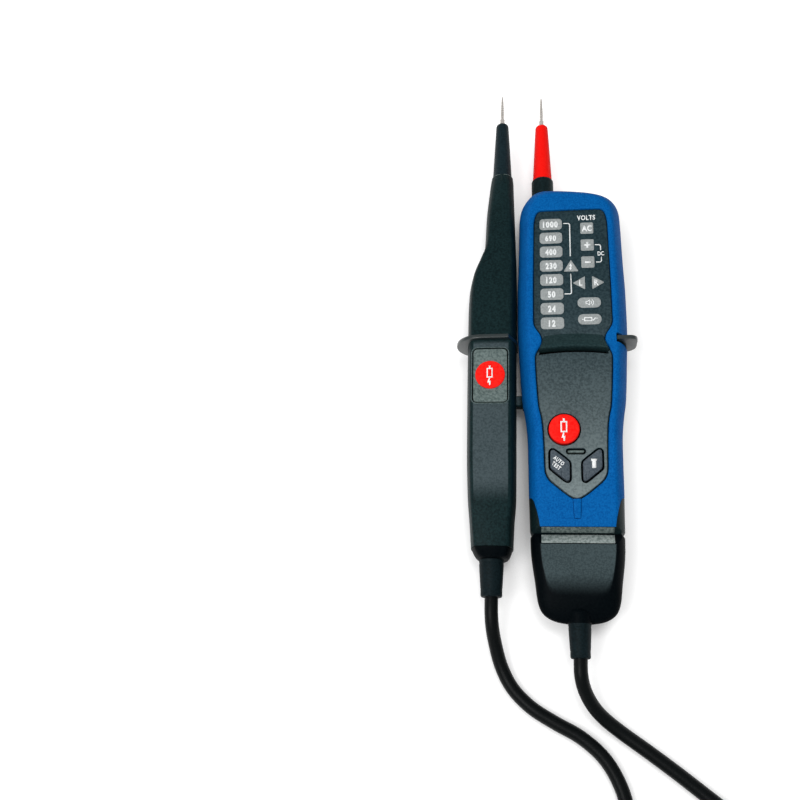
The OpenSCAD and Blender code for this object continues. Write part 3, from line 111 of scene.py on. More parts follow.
# Probe sections: share of the length, left and right side, bottom and top, and how square
PROBE_SHARES = [
    [-0.009, -0.600, 0.213, 0.110, 0.885, 0.85], [0.050, -0.631, 0.234, 0.067, 0.933, 1],
    [0.112, -0.672, 0.271, 0.025, 0.975, 1], [0.230, -0.700, 0.280, 0, 1, 1],
    [0.465, -0.708, 0.289, 0, 1, 1], [0.590, -0.704, 0.303, 0, 1, 1],
    [0.642, -0.690, 0.307, 0.020, 0.985, 1], [0.696, -0.620, 0.303, 0.065, 0.955, 1],
    [0.745, -0.470, 0.298, 0.130, 0.920, 1], [0.782, -0.370, 0.289, 0.185, 0.900, 0.95],
    [0.800, -0.362, 0.285, 0.200, 0.890, 0.85], [0.877, -0.335, 0.266, 0.242, 0.848, 0.6],
    [0.950, -0.280, 0.250, 0.292, 0.795, 0.35], [0.985, -0.248, 0.243, 0.315, 0.770, 0.1],
    [1.000, -0.228, 0.228, 0.335, 0.750, 0]]
QUARTER_SHARES = [[1, 0.06], [0.965, 0.42], [0.90, 0.72], [0.83, 0.91], [0.74, 0.985], [0.60, 1]]
QUARTER_ANGLES = [3, 24, 42, 56, 68, 80]


# --- Camera, in the photograph's place ---
def make_camera():
    """Camera at the place, turn and lens that were fitted to the outlines in the photograph."""
    data = bpy.data.cameras.new("photo_camera")
    data.lens, data.sensor_width = 43.2, 36
    data.clip_start, data.clip_end = 0.01, 20
    camera = bpy.data.objects.new("photo_camera", data)
    camera.location = (-0.01517, -0.14731, 0.41230)
    camera.rotation_euler = [math.radians(a) for a in (20.385, 7.966, 2.142)]
    bpy.context.collection.objects.link(camera)
    bpy.context.scene.camera = camera


make_camera()


# --- Curves and surfaces ---
def curve_at(rows, knots, at, closed=False, steady=False):
    """Cubic pieces through the rows at the knots. The slope at a knot is that of the parabola
    through it and its two neighbours; a steady curve takes their harmonic mean, so it has no
    swings of its own. A closed curve has one knot more than rows."""
    p, k = np.asarray(rows, float), np.asarray(knots, float)
    shape = p.shape[1:]
    p = p.reshape(len(p), -1)
    if closed:
        p = np.vstack([p, p[:1]])
    h = np.diff(k)[:, None]
    d = np.diff(p, axis=0) / h
    d0, d1 = (np.vstack([d[-1:], d]), np.vstack([d, d[:1]])) if closed else (
        np.vstack([d[:1], d]), np.vstack([d, d[-1:]]))
    h0, h1 = (np.vstack([h[-1:], h]), np.vstack([h, h[:1]])) if closed else (
        np.vstack([h[:1], h]), np.vstack([h, h[-1:]]))
    m = (d0 * h1 + d1 * h0) / (h0 + h1)
    if steady:
        both = d0 + d1
        mean = 2 * d0 * d1 / np.where(both == 0, 1, both)
        m = np.where(d0 * d1 > 0, mean, 0)
    at = np.asarray(at, float)
    i = np.clip(np.searchsorted(k, at, side="right") - 1, 0, len(h) - 1)
    u = ((at - k[i]) / h[i, 0])[:, None]
    a, b = (1 + 2 * u) * (1 - u) ** 2, u * (1 - u) ** 2
    c, e = u * u * (3 - 2 * u), u * u * (u - 1)
    out = a * p[i] + b * h[i] * m[i] + c * p[i + 1] + e * h[i] * m[i + 1]
    return out.reshape(len(at), *shape)


def lengths_along(points, closed=False):
    """Distance along a line of points, from its first one."""
    if closed:
        points = np.vstack([points, points[:1]])
    return np.concatenate([[0], np.cumsum(np.linalg.norm(np.diff(points, axis=0), axis=1))])


def evenly(points, count, closed=False, columns=None):
    """The same line with count points at equal distances."""
    points = np.asarray(points, float)
    s = lengths_along(points[:, :columns], closed)
    if closed:
        points = np.vstack([points, points[:1]])
    at = np.linspace(0, s[-1], count, endpoint=not closed)
    return np.stack([np.interp(at, s, column) for column in points.T], 1)


def through(rows, count, closed=False, columns=2, dense=16):
    """A smooth curve through table rows, with count evenly spaced points. The knots stand the
    square root of the rows' distances apart."""
    rows = np.asarray(rows, float)
    loop = np.vstack([rows, rows[:1]]) if closed else rows
    gaps = np.linalg.norm(np.diff(loop[:, :columns], axis=0), axis=1) ** 0.5
    knots = np.concatenate([[0], np.cumsum(gaps)])
    at = np.linspace(0, knots[-1], dense * len(rows) + 1)
    fine = curve_at(rows, knots, at[:-1] if closed else at, closed)
    return evenly(fine, count, closed, columns)


def soft_corners(corners, cut, steps=6, closed=True):
    """A line with each corner replaced by a parabola that starts a cut before it and ends a cut
    after it, or half way to the next corner."""
    p = np.asarray(corners, float)
    before, after = np.roll(p, 1, axis=0) - p, np.roll(p, -1, axis=0) - p
    lb = np.maximum(np.linalg.norm(before, axis=1, keepdims=True), 1e-9)
    la = np.maximum(np.linalg.norm(after, axis=1, keepdims=True), 1e-9)
    a = p + before / lb * np.minimum(cut, lb / 2)
    b = p + after / la * np.minimum(cut, la / 2)
    u = np.linspace(0, 1, steps + 1)[None, :, None]
    line = a[:, None] * (1 - u) ** 2 + p[:, None] * 2 * u * (1 - u) + b[:, None] * u * u
    if closed:
        return line.reshape(-1, p.shape[1])
    return np.vstack([p[:1], line[1:-1].reshape(-1, p.shape[1]), p[-1:]])


def moved_in(loop, distance):
    """A closed anticlockwise loop moved inwards, square to itself."""
    t = np.roll(loop, -1, axis=0) - np.roll(loop, 1, axis=0)
    t /= np.maximum(np.linalg.norm(t, axis=1, keepdims=True), 1e-9)
    return loop + distance * np.stack([-t[:, 1], t[:, 0]], 1)


def round_rect(w, h, r, x=0.0, y=0.0, steps=8):
    """Rectangle with round corners, anticlockwise."""
    a = np.radians(np.linspace(0, 90, steps + 1))
    corners = [(1, 1, 0), (-1, 1, 90), (-1, -1, 180), (1, -1, 270)]
    return np.vstack([np.stack([
        x + sx * (w / 2 - r) + r * np.cos(a + math.radians(turn)),
        y + sy * (h / 2 - r) + r * np.sin(a + math.radians(turn))], 1)
        for sx, sy, turn in corners])


def circle(r, x=0.0, y=0.0, count=64):
    """Points evenly round a circle, anticlockwise."""
    a = np.linspace(0, 2 * np.pi, count, endpoint=False)
    return np.stack([x + r * np.cos(a), y + r * np.sin(a)], 1)


def inside(points, loops):
    """Whether each point lies inside an odd number of the loops."""
    odd = np.zeros(len(points), bool)
    for loop in loops:
        x0, y0 = loop[:, 0], loop[:, 1]
        x1, y1 = np.roll(x0, -1), np.roll(y0, -1)
        px, py = points[:, :1], points[:, 1:2]
        spans = (y0 > py) != (y1 > py)
        rise = np.where(y1 == y0, 1, y1 - y0)
        hits = spans & (px < (x1 - x0) * (py - y0) / rise + x0)
        odd ^= hits.sum(1) % 2 == 1
    return odd


# A triangle counts as one with no area under this share of its longest side's square
FLAT_SHARE = 1e-4


def filled(loops, lines=()):
    """Triangles over the region between closed loops, by constrained Delaunay triangulation, with
    further lines of points that stay edges. Triangles with no area are left out."""
    points, edges = [], []
    for line, closed in [(loop, True) for loop in loops] + [(line, False) for line in lines]:
        n, start = len(line), len(points)
        points += [tuple(map(float, p)) for p in line]
        edges += [(start + i, start + (i + 1) % n) for i in range(n if closed else n - 1)]
    verts, _, faces, *_ = delaunay_2d_cdt(points, edges, [], 0, 1e-5)
    verts = np.array([tuple(v) for v in verts], float)
    tris = np.array([f for f in faces if len(f) == 3], int)
    sides = np.roll(verts[tris], -1, axis=1) - verts[tris]
    area = np.abs(sides[:, 0, 0] * sides[:, 1, 1] - sides[:, 0, 1] * sides[:, 1, 0])
    tris = tris[area > FLAT_SHARE * (sides ** 2).sum(2).max(1)]
    return verts, tris[inside(verts[tris].mean(1), loops)]


def with_z(xy, z):
    """Points of x and y with a height, one for all or one for each."""
    return np.concatenate([xy, np.broadcast_to(np.asarray(z, float), xy.shape[:-1])[..., None]], -1)


class Shape:
    """Gathers the surfaces of one piece, in millimetres."""

    def __init__(self):
        self.points, self.faces, self.count = [], [], 0

    def add(self, points, faces):
        """Takes in points and the faces between them, counted on from those it has."""
        points = np.asarray(points, float).reshape(-1, 3)
        self.points.append(points)
        self.faces += (np.asarray(faces) + self.count).tolist()
        self.count += len(points)
        return self

    def grid(self, rows, closed=False):
        """A surface through rows of points, four-sided between neighbours."""
        rows = np.asarray(rows, float)
        if closed:
            rows = np.concatenate([rows, rows[:, :1]], 1)
        r, c = rows.shape[:2]
        i = np.arange(r * c).reshape(r, c)
        return self.add(rows, np.stack([i[:-1, :-1], i[:-1, 1:], i[1:, 1:], i[1:, :-1]], -1).reshape(-1, 4))

    def fill(self, loops, height, lines=()):
        """A surface over the region between loops, at a height that is a number or a function. Its
        triangles keep the further lines as edges."""
        xy, tris = filled(loops, lines)
        z = height(xy) if callable(height) else height
        return self.add(with_z(xy, z), tris)

    def slab(self, outline, rings, place=None):
        """A closed solid: rings of the outline moved in and raised, from its lower to its upper side,
        with both ends filled."""
        place = place or (lambda p: p)
        rows = [with_z(moved_in(outline, d), z) for d, z in rings]
        self.grid([place(row) for row in rows], closed=True)
        for row in (rows[0], rows[-1]):
            xy, tris = filled([row[:, :2]])
            self.add(place(with_z(xy, row[0, 2])), tris)
        return self

    def band(self, loop, profile, place=None):
        """A ring: a closed profile of distance inwards and height, carried round a closed loop."""
        place = place or (lambda p: p)
        rows = [place(with_z(moved_in(loop, d), z)) for d, z in list(profile) + [profile[0]]]
        return self.grid(rows, closed=True)

    def turned(self, profile, place, count=64):
        """A profile of radius and distance, turned round its axis."""
        a = np.linspace(0, 2 * np.pi, count, endpoint=False)
        p = np.asarray(profile, float)
        rows = np.stack([p[:, :1] * np.cos(a), p[:, :1] * np.sin(a),
                         np.broadcast_to(p[:, 1:], (len(p), count))], -1)
        return self.grid([place(row) for row in rows], closed=True)


def along_y(x, y, z, way=1):
    """Places a turned piece's axis along +Y, or along -Y with way -1."""
    return lambda p: np.stack([x + p[..., 0], y + way * p[..., 2], z + p[..., 1]], -1)


def upright(y, t):
    """Places a flat outline of x and z across the object, its thickness along -Y from y."""
    return lambda p: np.stack([p[..., 0], y - t + p[..., 2], p[..., 1]], -1)


# Shares at which the tables set the seam, and the start of the face's fall on housing and panel
SEAM_SHARE, BODY_FALL_SHARE, PANEL_FALL_SHARE = 0.182, 0.611, 0.533


def body_y(share):
    """Place along the housing at a share of its length, in straight pieces between its cord end, the
    seam, the start of the face's fall and its top."""
    return np.interp(share, [0, SEAM_SHARE, BODY_FALL_SHARE, 1], [LOW_Y, SEAM_Y, FALL_Y, TOP_Y])


def panel_y(share):
    """Place along the housing at a share of the panel's length, in straight pieces for key zone and
    display. Shares down to -0.1 go on at the key zone's pace."""
    below = -0.1
    low = PANEL_LOW_Y + below / PANEL_FALL_SHARE * KEY_ZONE_LEN
    return np.interp(share, [below, PANEL_FALL_SHARE, 1], [low, FALL_Y, PANEL_TOP_Y])


def face_at(y):
    """Height of the face: level at the display, and sinking evenly from there to the cord end."""
    return FACE_H - np.maximum(0, FALL_Y - np.asarray(y, float)) * FACE_FALL


def panel_at(y):
    """Height of the dark panel, which lies sunk in the face."""
    return face_at(y) - PANEL_SINK


def over_face(xy, rise=0.0):
    """Points of x and y at the face's height, or that much above it."""
    return with_z(xy, face_at(xy[:, 1]) + rise)


def over_panel(xy, rise=0.0):
    """Points of x and y at the panel's height, or that much above it."""
    return with_z(xy, panel_at(xy[:, 1]) + rise)


def on_panel(x0, y0):
    """Places a local shape square to the dark panel at a point."""
    c, s = math.cos(TILT), math.sin(TILT)
    z0 = float(panel_at(y0))
    return lambda p: np.stack([x0 + p[..., 0], y0 + c * p[..., 1] - s * p[..., 2],
                               z0 + s * p[..., 1] + c * p[..., 2]], -1)


# --- Node groups and materials ---
def srgb(r, g, b):
    """A shader's colour from values of 0 to 255 as a screen shows them."""
    def linear(c):
        c /= 255
        return c / 12.92 if c <= 0.04045 else ((c + 0.055) / 1.055) ** 2.4
    return linear(r), linear(g), linear(b), 1.0


def put(tree, kind, sockets=(), **settings):
    """A node with its settings, and its input sockets set or linked."""
    node = tree.nodes.new(kind)
    for name, value in settings.items():
        setattr(node, name, value)
    for name, value in dict(sockets).items():
        socket = node.inputs[name]
        if isinstance(value, bpy.types.NodeSocket):
            tree.links.new(value, socket)
        else:
            socket.default_value = value
    return node


def calc(tree, operation, a, b, **settings):
    """Two sockets or numbers taken together by a maths node."""
    return put(tree, "ShaderNodeMath", {0: a, 1: b}, operation=operation, **settings).outputs[0]


def mapped(tree, value, start, stop, low=0.0, high=1.0, **settings):
    """A value whose way from start to stop becomes the way from low to high."""
    limits = {"From Min": start, "From Max": stop, "To Min": low, "To Max": high}
    return put(tree, "ShaderNodeMapRange", {"Value": value, **limits}, **settings).outputs["Result"]


def noise(tree, place, scale, detail, rough=0.5):
    """Noise over a place, as a value about one half."""
    return put(tree, "ShaderNodeTexNoise", {"Vector": place, "Scale": scale, "Detail": detail,
                                            "Roughness": rough}).outputs["Fac"]


def mixed(tree, share, first, second):
    """One colour that turns into another by a share. The node's colour sockets have only their index to
    tell them from its other ones."""
    return put(tree, "ShaderNodeMix", {"Factor": share, 6: first, 7: second}, data_type="RGBA").outputs[2]


def new_group(name, inputs, outputs):
    """An empty node group with named sockets, and the sockets of its two ends."""
    group = bpy.data.node_groups.new(name, "ShaderNodeTree")
    for title, kind, value in inputs:
        socket = group.interface.new_socket(name=title, in_out="INPUT", socket_type=kind)
        socket.default_value = value
    for title, kind in outputs:
        group.interface.new_socket(name=title, in_out="OUTPUT", socket_type=kind)
    return group, group.nodes.new("NodeGroupInput").outputs, group.nodes.new("NodeGroupOutput").inputs


def closed_group(group, result, colour, rough, height, depth):
    """Leads a group's colour and roughness to its end, and a relief with the depth of its height."""
    bump = put(group, "ShaderNodeBump", {"Height": height, "Distance": depth, "Strength": 1.0})
    for title, socket in (("Colour", colour), ("Roughness", rough), ("Normal", bump.outputs["Normal"])):
        group.links.new(socket, result[title])
    return group


COLOUR, NUMBER, VECTOR = "NodeSocketColor", "NodeSocketFloat", "NodeSocketVector"
LOOK_OUT = [("Colour", COLOUR), ("Roughness", NUMBER), ("Normal", VECTOR)]
PAINTED_SHEEN_FADE_POWER = 2.5


def moulded_grain_group():
    """Spark-eroded grain of moulded plastic: fine noise raises and specks the surface, and broad noise
    varies its colour and its roughness as handling does. Faces that look up get a painted sheen, a
    lighter colour along a stretch that stands in for the highlight of the light above: smoothly more
    from its start to where it is full, then all of it, then less by a power of what is left to its end."""
    group, given, result = new_group(
        "moulded_grain",
        [("Colour", COLOUR, (0.02, 0.02, 0.02, 1)), ("Rubbed", COLOUR, (0.03, 0.03, 0.03, 1)),
         ("Painted Sheen", COLOUR, (0.1, 0.1, 0.1, 1)), ("Painted Sheen From", NUMBER, 8.0), ("Painted Sheen Full", NUMBER, 9.0),
         ("Painted Sheen Fades", NUMBER, 9.5), ("Painted Sheen To", NUMBER, 10.0),
         ("Grain", NUMBER, 2200), ("Depth", NUMBER, 0.00003), ("Smooth", NUMBER, 0.35),
         ("Rough", NUMBER, 0.5)], LOOK_OUT)
    place = put(group, "ShaderNodeTexCoord").outputs["Object"]
    fine = noise(group, place, given["Grain"], 2.0, 0.6)
    broad = noise(group, place, 55.0, 4.0, 0.65)
    patch = mapped(group, broad, 0.32, 0.68, high=0.35)
    speck = mapped(group, fine, 0.36, 0.64, high=0.9)
    both = calc(group, "ADD", patch, speck, use_clamp=True)
    tint = mixed(group, both, given["Colour"], given["Rubbed"])
    along = put(group, "ShaderNodeSeparateXYZ", {0: place}).outputs["Y"]
    normal = put(group, "ShaderNodeNewGeometry").outputs["Normal"]
    up = put(group, "ShaderNodeSeparateXYZ", {0: normal}).outputs["Z"]
    # Painted sheen: faces that look up turn lighter along a stretch, in place of the highlight of the light
    # above
    rise = mapped(group, along, given["Painted Sheen From"], given["Painted Sheen Full"], interpolation_type="SMOOTHSTEP")
    fall = mapped(group, along, given["Painted Sheen Fades"], given["Painted Sheen To"], 1.0, 0.0)
    fall = calc(group, "POWER", fall, PAINTED_SHEEN_FADE_POWER)
    level = mapped(group, up, 0.965, 0.995)
    painted_sheen = calc(group, "MULTIPLY", calc(group, "MULTIPLY", rise, fall), level)
    painted_sheen = calc(group, "MULTIPLY", painted_sheen, mapped(group, both, 0.0, 1.0, 0.56))
    shade = mixed(group, painted_sheen, tint, given["Painted Sheen"])
    rough = mapped(group, patch, 0.0, 1.0, given["Rough"], given["Smooth"])
    return closed_group(group, result, shade, rough, fine, given["Depth"])


def drawn_metal_group():
    """Turned or drawn metal: noise stretched round the axis gives fine rings in roughness and relief."""
    group, given, result = new_group(
        "drawn_metal",
        [("Colour", COLOUR, (0.6, 0.6, 0.6, 1)), ("Dull", COLOUR, (0.4, 0.4, 0.4, 1)),
         ("Rings", NUMBER, 900), ("Depth", NUMBER, 0.00001)], LOOK_OUT)
    place = put(group, "ShaderNodeTexCoord").outputs["Object"]
    turned = put(group, "ShaderNodeMapping", {"Vector": place, "Scale": (0.05, 1.0, 0.05)})
    rings = noise(group, turned.outputs["Vector"], given["Rings"], 2.0)
    tint = mixed(group, noise(group, place, 160.0, 3.0), given["Colour"], given["Dull"])
    rough = mapped(group, rings, 0.3, 0.7, 0.22, 0.3)
    return closed_group(group, result, tint, rough, rings, given["Depth"])


GRAIN, METAL = moulded_grain_group(), drawn_metal_group()


def new_material(name, group, sockets, shader):
    """A material whose colour, roughness and relief come from a node group, and whose constants stand
    on the shader's own sockets."""
    material = bpy.data.materials.new(name)
    material.use_nodes = True
    tree = material.node_tree
    principled = tree.nodes["Principled BSDF"]
    look = put(tree, "ShaderNodeGroup", node_tree=group)
    for title, value in sockets.items():
        look.inputs[title].default_value = value
    for out, into in (("Colour", "Base Color"), ("Roughness", "Roughness"), ("Normal", "Normal")):
        tree.links.new(look.outputs[out], principled.inputs[into])
    for title, value in shader.items():
        principled.inputs[title].default_value = value
    return material


def plastic(name, colour, rubbed, grain, depth, smooth, rough, spec=0.5, painted_sheen=None, clear=()):
    """Moulded plastic: its two tones, the grain's scale and depth, the roughness where it is smooth and
    where it is rough, and how much it mirrors. A further colour gives a painted sheen, a highlight
    painted on its up-facing faces along a stretch; after it come that stretch's four places along the
    object in millimetres: start, full, still full, end. Clear holds further shader sockets."""
    look = {"Colour": srgb(*colour), "Rubbed": srgb(*rubbed), "Grain": grain, "Depth": depth,
            "Smooth": smooth, "Rough": rough}
    if painted_sheen:
        look["Painted Sheen"] = srgb(*painted_sheen[0])
        for title, y in zip(("Painted Sheen From", "Painted Sheen Full", "Painted Sheen Fades", "Painted Sheen To"), painted_sheen[1]):
            look[title] = y * MM
    return new_material(name, GRAIN, look, {"Specular IOR Level": spec, **dict(clear)})


def metal(name, colour, dull, rings=900, depth=0.000006, metallic=0.72):
    """Drawn or turned metal: its two tones, and the scale and depth of its fine rings."""
    return new_material(name, METAL, {"Colour": srgb(*colour), "Dull": srgb(*dull), "Rings": rings,
                                      "Depth": depth}, {"Metallic": metallic})


BLUE = plastic("blue_soft_grip", (0, 76, 144), (8, 98, 170), 1400, 0.00006, 0.5, 0.62, spec=0.05)
# Darker blue as painted shade of the fine groove round the grip's rib
BLUE_PAINTED_SHADE = plastic("blue_grip_painted_shade", (0, 44, 96), (2, 56, 112), 1500, 0.00004, 0.6, 0.7, spec=0.05)
SHELL = plastic("black_shell", (5, 17, 19), (18, 34, 36), 1300, 0.00004, 0.42, 0.52, spec=0.12)
RIDGE = plastic("black_ridge", (16, 36, 38), (34, 54, 56), 1300, 0.00006, 0.45, 0.55, spec=0.12)
# Panel, end cap and probe carry a painted sheen: a lighter colour on faces that look up, along a stretch,
# as a painted highlight
PANEL = plastic("black_panel_film", (12, 32, 38), (40, 58, 64), 1000, 0.00008, 0.42, 0.5, spec=0.16,
                painted_sheen=((120, 132, 133), (-61, -60, -43, 70)))
CAP = plastic("black_end_cap", (1, 4, 7), (5, 10, 13), 1400, 0.00004, 0.42, 0.5, spec=0.03,
              painted_sheen=((66, 79, 82), (-87, -76, -60, -50)))
GUARD = plastic("black_guard", (10, 22, 23), (24, 38, 39), 1600, 0.00003, 0.28, 0.36, spec=0.9)
PROBE = plastic("black_probe_shell", (4, 20, 22), (20, 40, 42), 1100, 0.00006, 0.46, 0.54,
                spec=0.1, painted_sheen=((68, 80, 84), (-50, -38, 22, 24)))
PAD = plastic("grey_key_pad", (66, 80, 78), (108, 122, 120), 900, 0.0001, 0.5, 0.62, spec=0.2)
FRAME = plastic("grey_key_frame", (44, 60, 60), (84, 100, 100), 1400, 0.00005, 0.45, 0.55, spec=0.3)
KEYS = plastic("grey_soft_keys", (56, 66, 74), (80, 90, 98), 1200, 0.00005, 0.48, 0.6, spec=0.25)
# Near-black painted shade for slot lining, well floors, the panel's seat, the probe key's gap and the dock
# socket's mouth
PAINTED_SHADE = plastic("painted_shade_black", (2, 2, 3), (4, 5, 6), 2000, 0.00002, 0.7, 0.8, spec=0.05)
# One grey in two tones: the upper slope darker as painted shade, the lower slope lighter as painted light
SEAM_UPPER_SHADED = plastic("grey_seam_upper_painted_shade", (50, 62, 60), (102, 114, 112), 900, 0.00012, 0.55, 0.65, spec=0.15)
SEAM_LOWER_LIT = plastic("grey_seam_lower_painted_light", (84, 96, 94), (148, 158, 156), 900, 0.00012, 0.55, 0.65, spec=0.15)
LENS = plastic("grey_lens", (136, 141, 141), (160, 165, 165), 1200, 0.00001, 0.4, 0.5, spec=0.2)
RED = plastic("red_button", (242, 14, 10), (252, 38, 30), 1000, 0.00004, 0.45, 0.58, spec=0.1)
SLEEVE = plastic("red_sleeve", (250, 12, 8), (253, 26, 18), 1500, 0.00002, 0.4, 0.52, spec=0.1)
BLACK_SLEEVE = plastic("black_sleeve", (6, 22, 27), (22, 40, 46), 1300, 0.00003, 0.42, 0.52, spec=0.14)
RUBBER = plastic("lead_rubber", (1, 3, 4), (6, 10, 11), 1500, 0.00004, 0.34, 0.46, spec=0.12)
RELIEF = plastic("relief_rubber", (5, 15, 18), (16, 29, 33), 1300, 0.00005, 0.5, 0.6, spec=0.1)
INK = plastic("white_ink", (246, 248, 248), (238, 242, 242), 1800, 0.00001, 0.5, 0.6, spec=0.2)
TIE = plastic("black_tie", (15, 16, 17), (26, 28, 29), 1600, 0.00002, 0.35, 0.45)
STEEL = metal("needle_steel", (236, 231, 226), (206, 199, 192), 7000, 0.0000005)
CLEAR = plastic("torch_lens_clear", (222, 228, 230), (236, 240, 242), 900, 0.00001, 0.05, 0.12,
                clear={"Transmission Weight": 0.85, "IOR": 1.49})


# --- Making pieces ---
def piece(name, shape, body, look, nodes=(), thick=0.0, sharp=35, core=None):
    """A mesh object in metres from a shape in millimetres: doubles merged, faces turned outwards, or
    away from the core where the shape is open, an open sheet thickened inwards, and edges over the
    sharp angle kept crisp. It rides a body, has a slot and stands for the part's nodes."""
    mesh = bpy.data.meshes.new(name)
    mesh.from_pydata((np.vstack(shape.points) * MM).tolist(), [], shape.faces)
    bm = bmesh.new()
    bm.from_mesh(mesh)
    bmesh.ops.remove_doubles(bm, verts=bm.verts, dist=0.004 * MM)
    bmesh.ops.dissolve_degenerate(bm, edges=bm.edges, dist=0.001 * MM)
    bmesh.ops.recalc_face_normals(bm, faces=bm.faces)
    if core is not None:
        middle = Vector(core) * MM
        lean = sum(f.normal.dot(f.calc_center_median() - middle) * f.calc_area() for f in bm.faces)
        if lean < 0:
            bmesh.ops.reverse_faces(bm, faces=bm.faces)
    bm.to_mesh(mesh)
    bm.free()
    mesh.materials.append(look)
    obj = bpy.data.objects.new(name, mesh)
    bpy.context.collection.objects.link(obj)
    if thick:
        wall = obj.modifiers.new("wall", "SOLIDIFY")
        wall.thickness, wall.offset = thick * MM, -1
        graph = bpy.context.evaluated_depsgraph_get()
        obj.data = bpy.data.meshes.new_from_object(obj.evaluated_get(graph))
        obj.modifiers.clear()
    obj.data.shade_smooth()
    obj.data.set_sharp_from_angle(angle=math.radians(sharp))
    if body:
        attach(obj, body)
    if nodes:
        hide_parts(*nodes)
    return obj


def cut(obj, shape, sharp):
    """Takes a shape out of a finished piece."""
    tool = piece("cutter", shape, None, PAINTED_SHADE)
    way = obj.modifiers.new("cut", "BOOLEAN")
    way.operation, way.solver, way.object = "DIFFERENCE", "EXACT", tool
    mesh = bpy.data.meshes.new_from_object(obj.evaluated_get(bpy.context.evaluated_depsgraph_get()))
    obj.modifiers.clear()
    obj.data = mesh
    while len(mesh.materials) > 1:
        mesh.materials.pop(index=1)
    bpy.data.objects.remove(tool)
    mesh.shade_smooth()
    mesh.set_sharp_from_angle(angle=math.radians(sharp))


# --- Lead: from the display unit through the coil to the probe, on the routes of the part's source ---
COIL_CENTRE, COIL_START, COIL_TURNS = (55.0, -212.0), 180.0, 4.653
COIL_R, COIL_PITCH, COIL_LIFT = 36.5, LEAD_D + 0.7, 3.9
PROBE_ROUTE = [
    [PROBE_MID_X, -86.50, 12], [-35.5, -92.4, 12], [-35.2, -98, 10.4], [-34, -105, 6.8],
    [-31.6, -113.5, 3.7], [-27.4, -121.4, 2.8], [-20, -128.7, 2.8], [-10.6, -134.3, 2.8],
    [0, -139.8, 2.8], [9, -147.6, 2.8], [15, -158.5, 2.8], [17.6, -171, 2.8], [18.4, -184, 3],
    [18.5, -196, 3.6]]
MAIN_ROUTE = [
    [0, -110.46, 13.98], [0, -116.2, 13.8], [1.2, -121.6, 11.2], [4.2, -127.2, 7.6], [8.4, -131.8, 4.6],
    [15.5, -137.2, 2.9], [25.5, -144, 2.8], [36, -151.4, 2.8], [46.5, -159.2, 3], [57, -167.2, 5],
    [66, -174.3, 8.6]]


def coil_line():
    """In on the lower layer by one pitch a turn, up a layer half way, and out on the upper one."""
    turn = np.linspace(0, COIL_TURNS, round(COIL_TURNS * 24) + 1)
    r = COIL_R - COIL_PITCH * np.minimum(turn, COIL_TURNS - turn)
    a = np.radians(COIL_START + 360 * turn)
    up = np.clip((turn - COIL_TURNS / 2 + 0.25) * 2, 0, 1)
    return np.stack([COIL_CENTRE[0] + r * np.cos(a), COIL_CENTRE[1] + r * np.sin(a),
                     COIL_LIFT + COIL_PITCH * up * up * (3 - 2 * up)], 1)


def tube_rows(line, radius, sides):
    """Rings square to a line, upright: each ring's first axis is level."""
    t = np.gradient(line, axis=0)
    t /= np.linalg.norm(t, axis=1, keepdims=True)
    side = np.cross(t, [0, 0, 1.0])
    side /= np.linalg.norm(side, axis=1, keepdims=True)
    up = np.cross(side, t)
    a = np.linspace(0, 2 * np.pi, sides, endpoint=False)
    r = np.broadcast_to(np.asarray(radius, float), (len(line),))[:, None, None]
    return line[:, None] + r * (np.cos(a)[:, None] * side[:, None] + np.sin(a)[:, None] * up[:, None])


def make_lead():
    """One tube with closed ends through the main route, the coil from its end to its start, and the
    probe's route towards the probe. Gives the piece and its middle line."""
    coil = coil_line()
    ends = np.radians(COIL_START + 360 * COIL_TURNS)
    last = coil[-1] + LEAD_D * np.array([-math.sin(ends), math.cos(ends), 0])
    first = coil[0] + LEAD_D * np.array([0, 1.0, 0])
    rows = np.vstack([MAIN_ROUTE, last, coil[::-1], first, np.array(PROBE_ROUTE)[::-1]])
    line = through(rows, 440, columns=3)
    rings = tube_rows(line, LEAD_D / 2, 20)
    tube = Shape().grid(rings, closed=True)
    for end in (0, -1):
        tube.grid([rings[end], np.broadcast_to(line[end], rings[end].shape)], closed=True)
    lead = piece("rubber_lead", tube, None, RUBBER, ("probe_lead", "main_lead", "cord_coil"))
    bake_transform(lead)
    return lead, line


def make_tie():
    """A flat nylon strap round the coil's turns: a round rectangle upright in the lead's way, with a
    low head on top."""
    slack = 0.2
    in_r = COIL_R - COIL_PITCH * COIL_TURNS / 2 - LEAD_D / 2 - slack
    out_r = COIL_R + LEAD_D / 2 - 0.25 * COIL_PITCH + slack
    t, w = 0.16 * LEAD_D, 1.5 * LEAD_D
    top = COIL_LIFT + COIL_PITCH + LEAD_D / 2 + slack
    loop = round_rect(out_r - in_r + 2 * t, top + t, 2.2, -(out_r + in_r) / 2, (top + t) / 2)
    profile = [(0.2, -w / 2), (0, 0.2 - w / 2), (0, w / 2 - 0.2), (0.2, w / 2), (t - 0.1, w / 2), (t, 0),
               (t - 0.1, -w / 2)]
    stand = lambda p: np.stack([COIL_CENTRE[0] + p[..., 2], COIL_CENTRE[1] + p[..., 0], p[..., 1]], -1)
    shape = Shape().band(loop, profile, stand)
    head = round_rect(5.2, w * 0.8, 1.0, -out_r + 6, 0)
    shape.slab(head, [(0, 0), (0, 1.3), (0.5, 1.9)],
               lambda p: np.stack([COIL_CENTRE[0] + p[..., 1], COIL_CENTRE[1] + p[..., 0],
                                   top + t * 0.5 + p[..., 2]], -1))
    return piece("coil_tie", shape, "display_unit", TIE, ("cord_tie",))


lead, lead_line = make_lead()
coil_tie = make_tie()


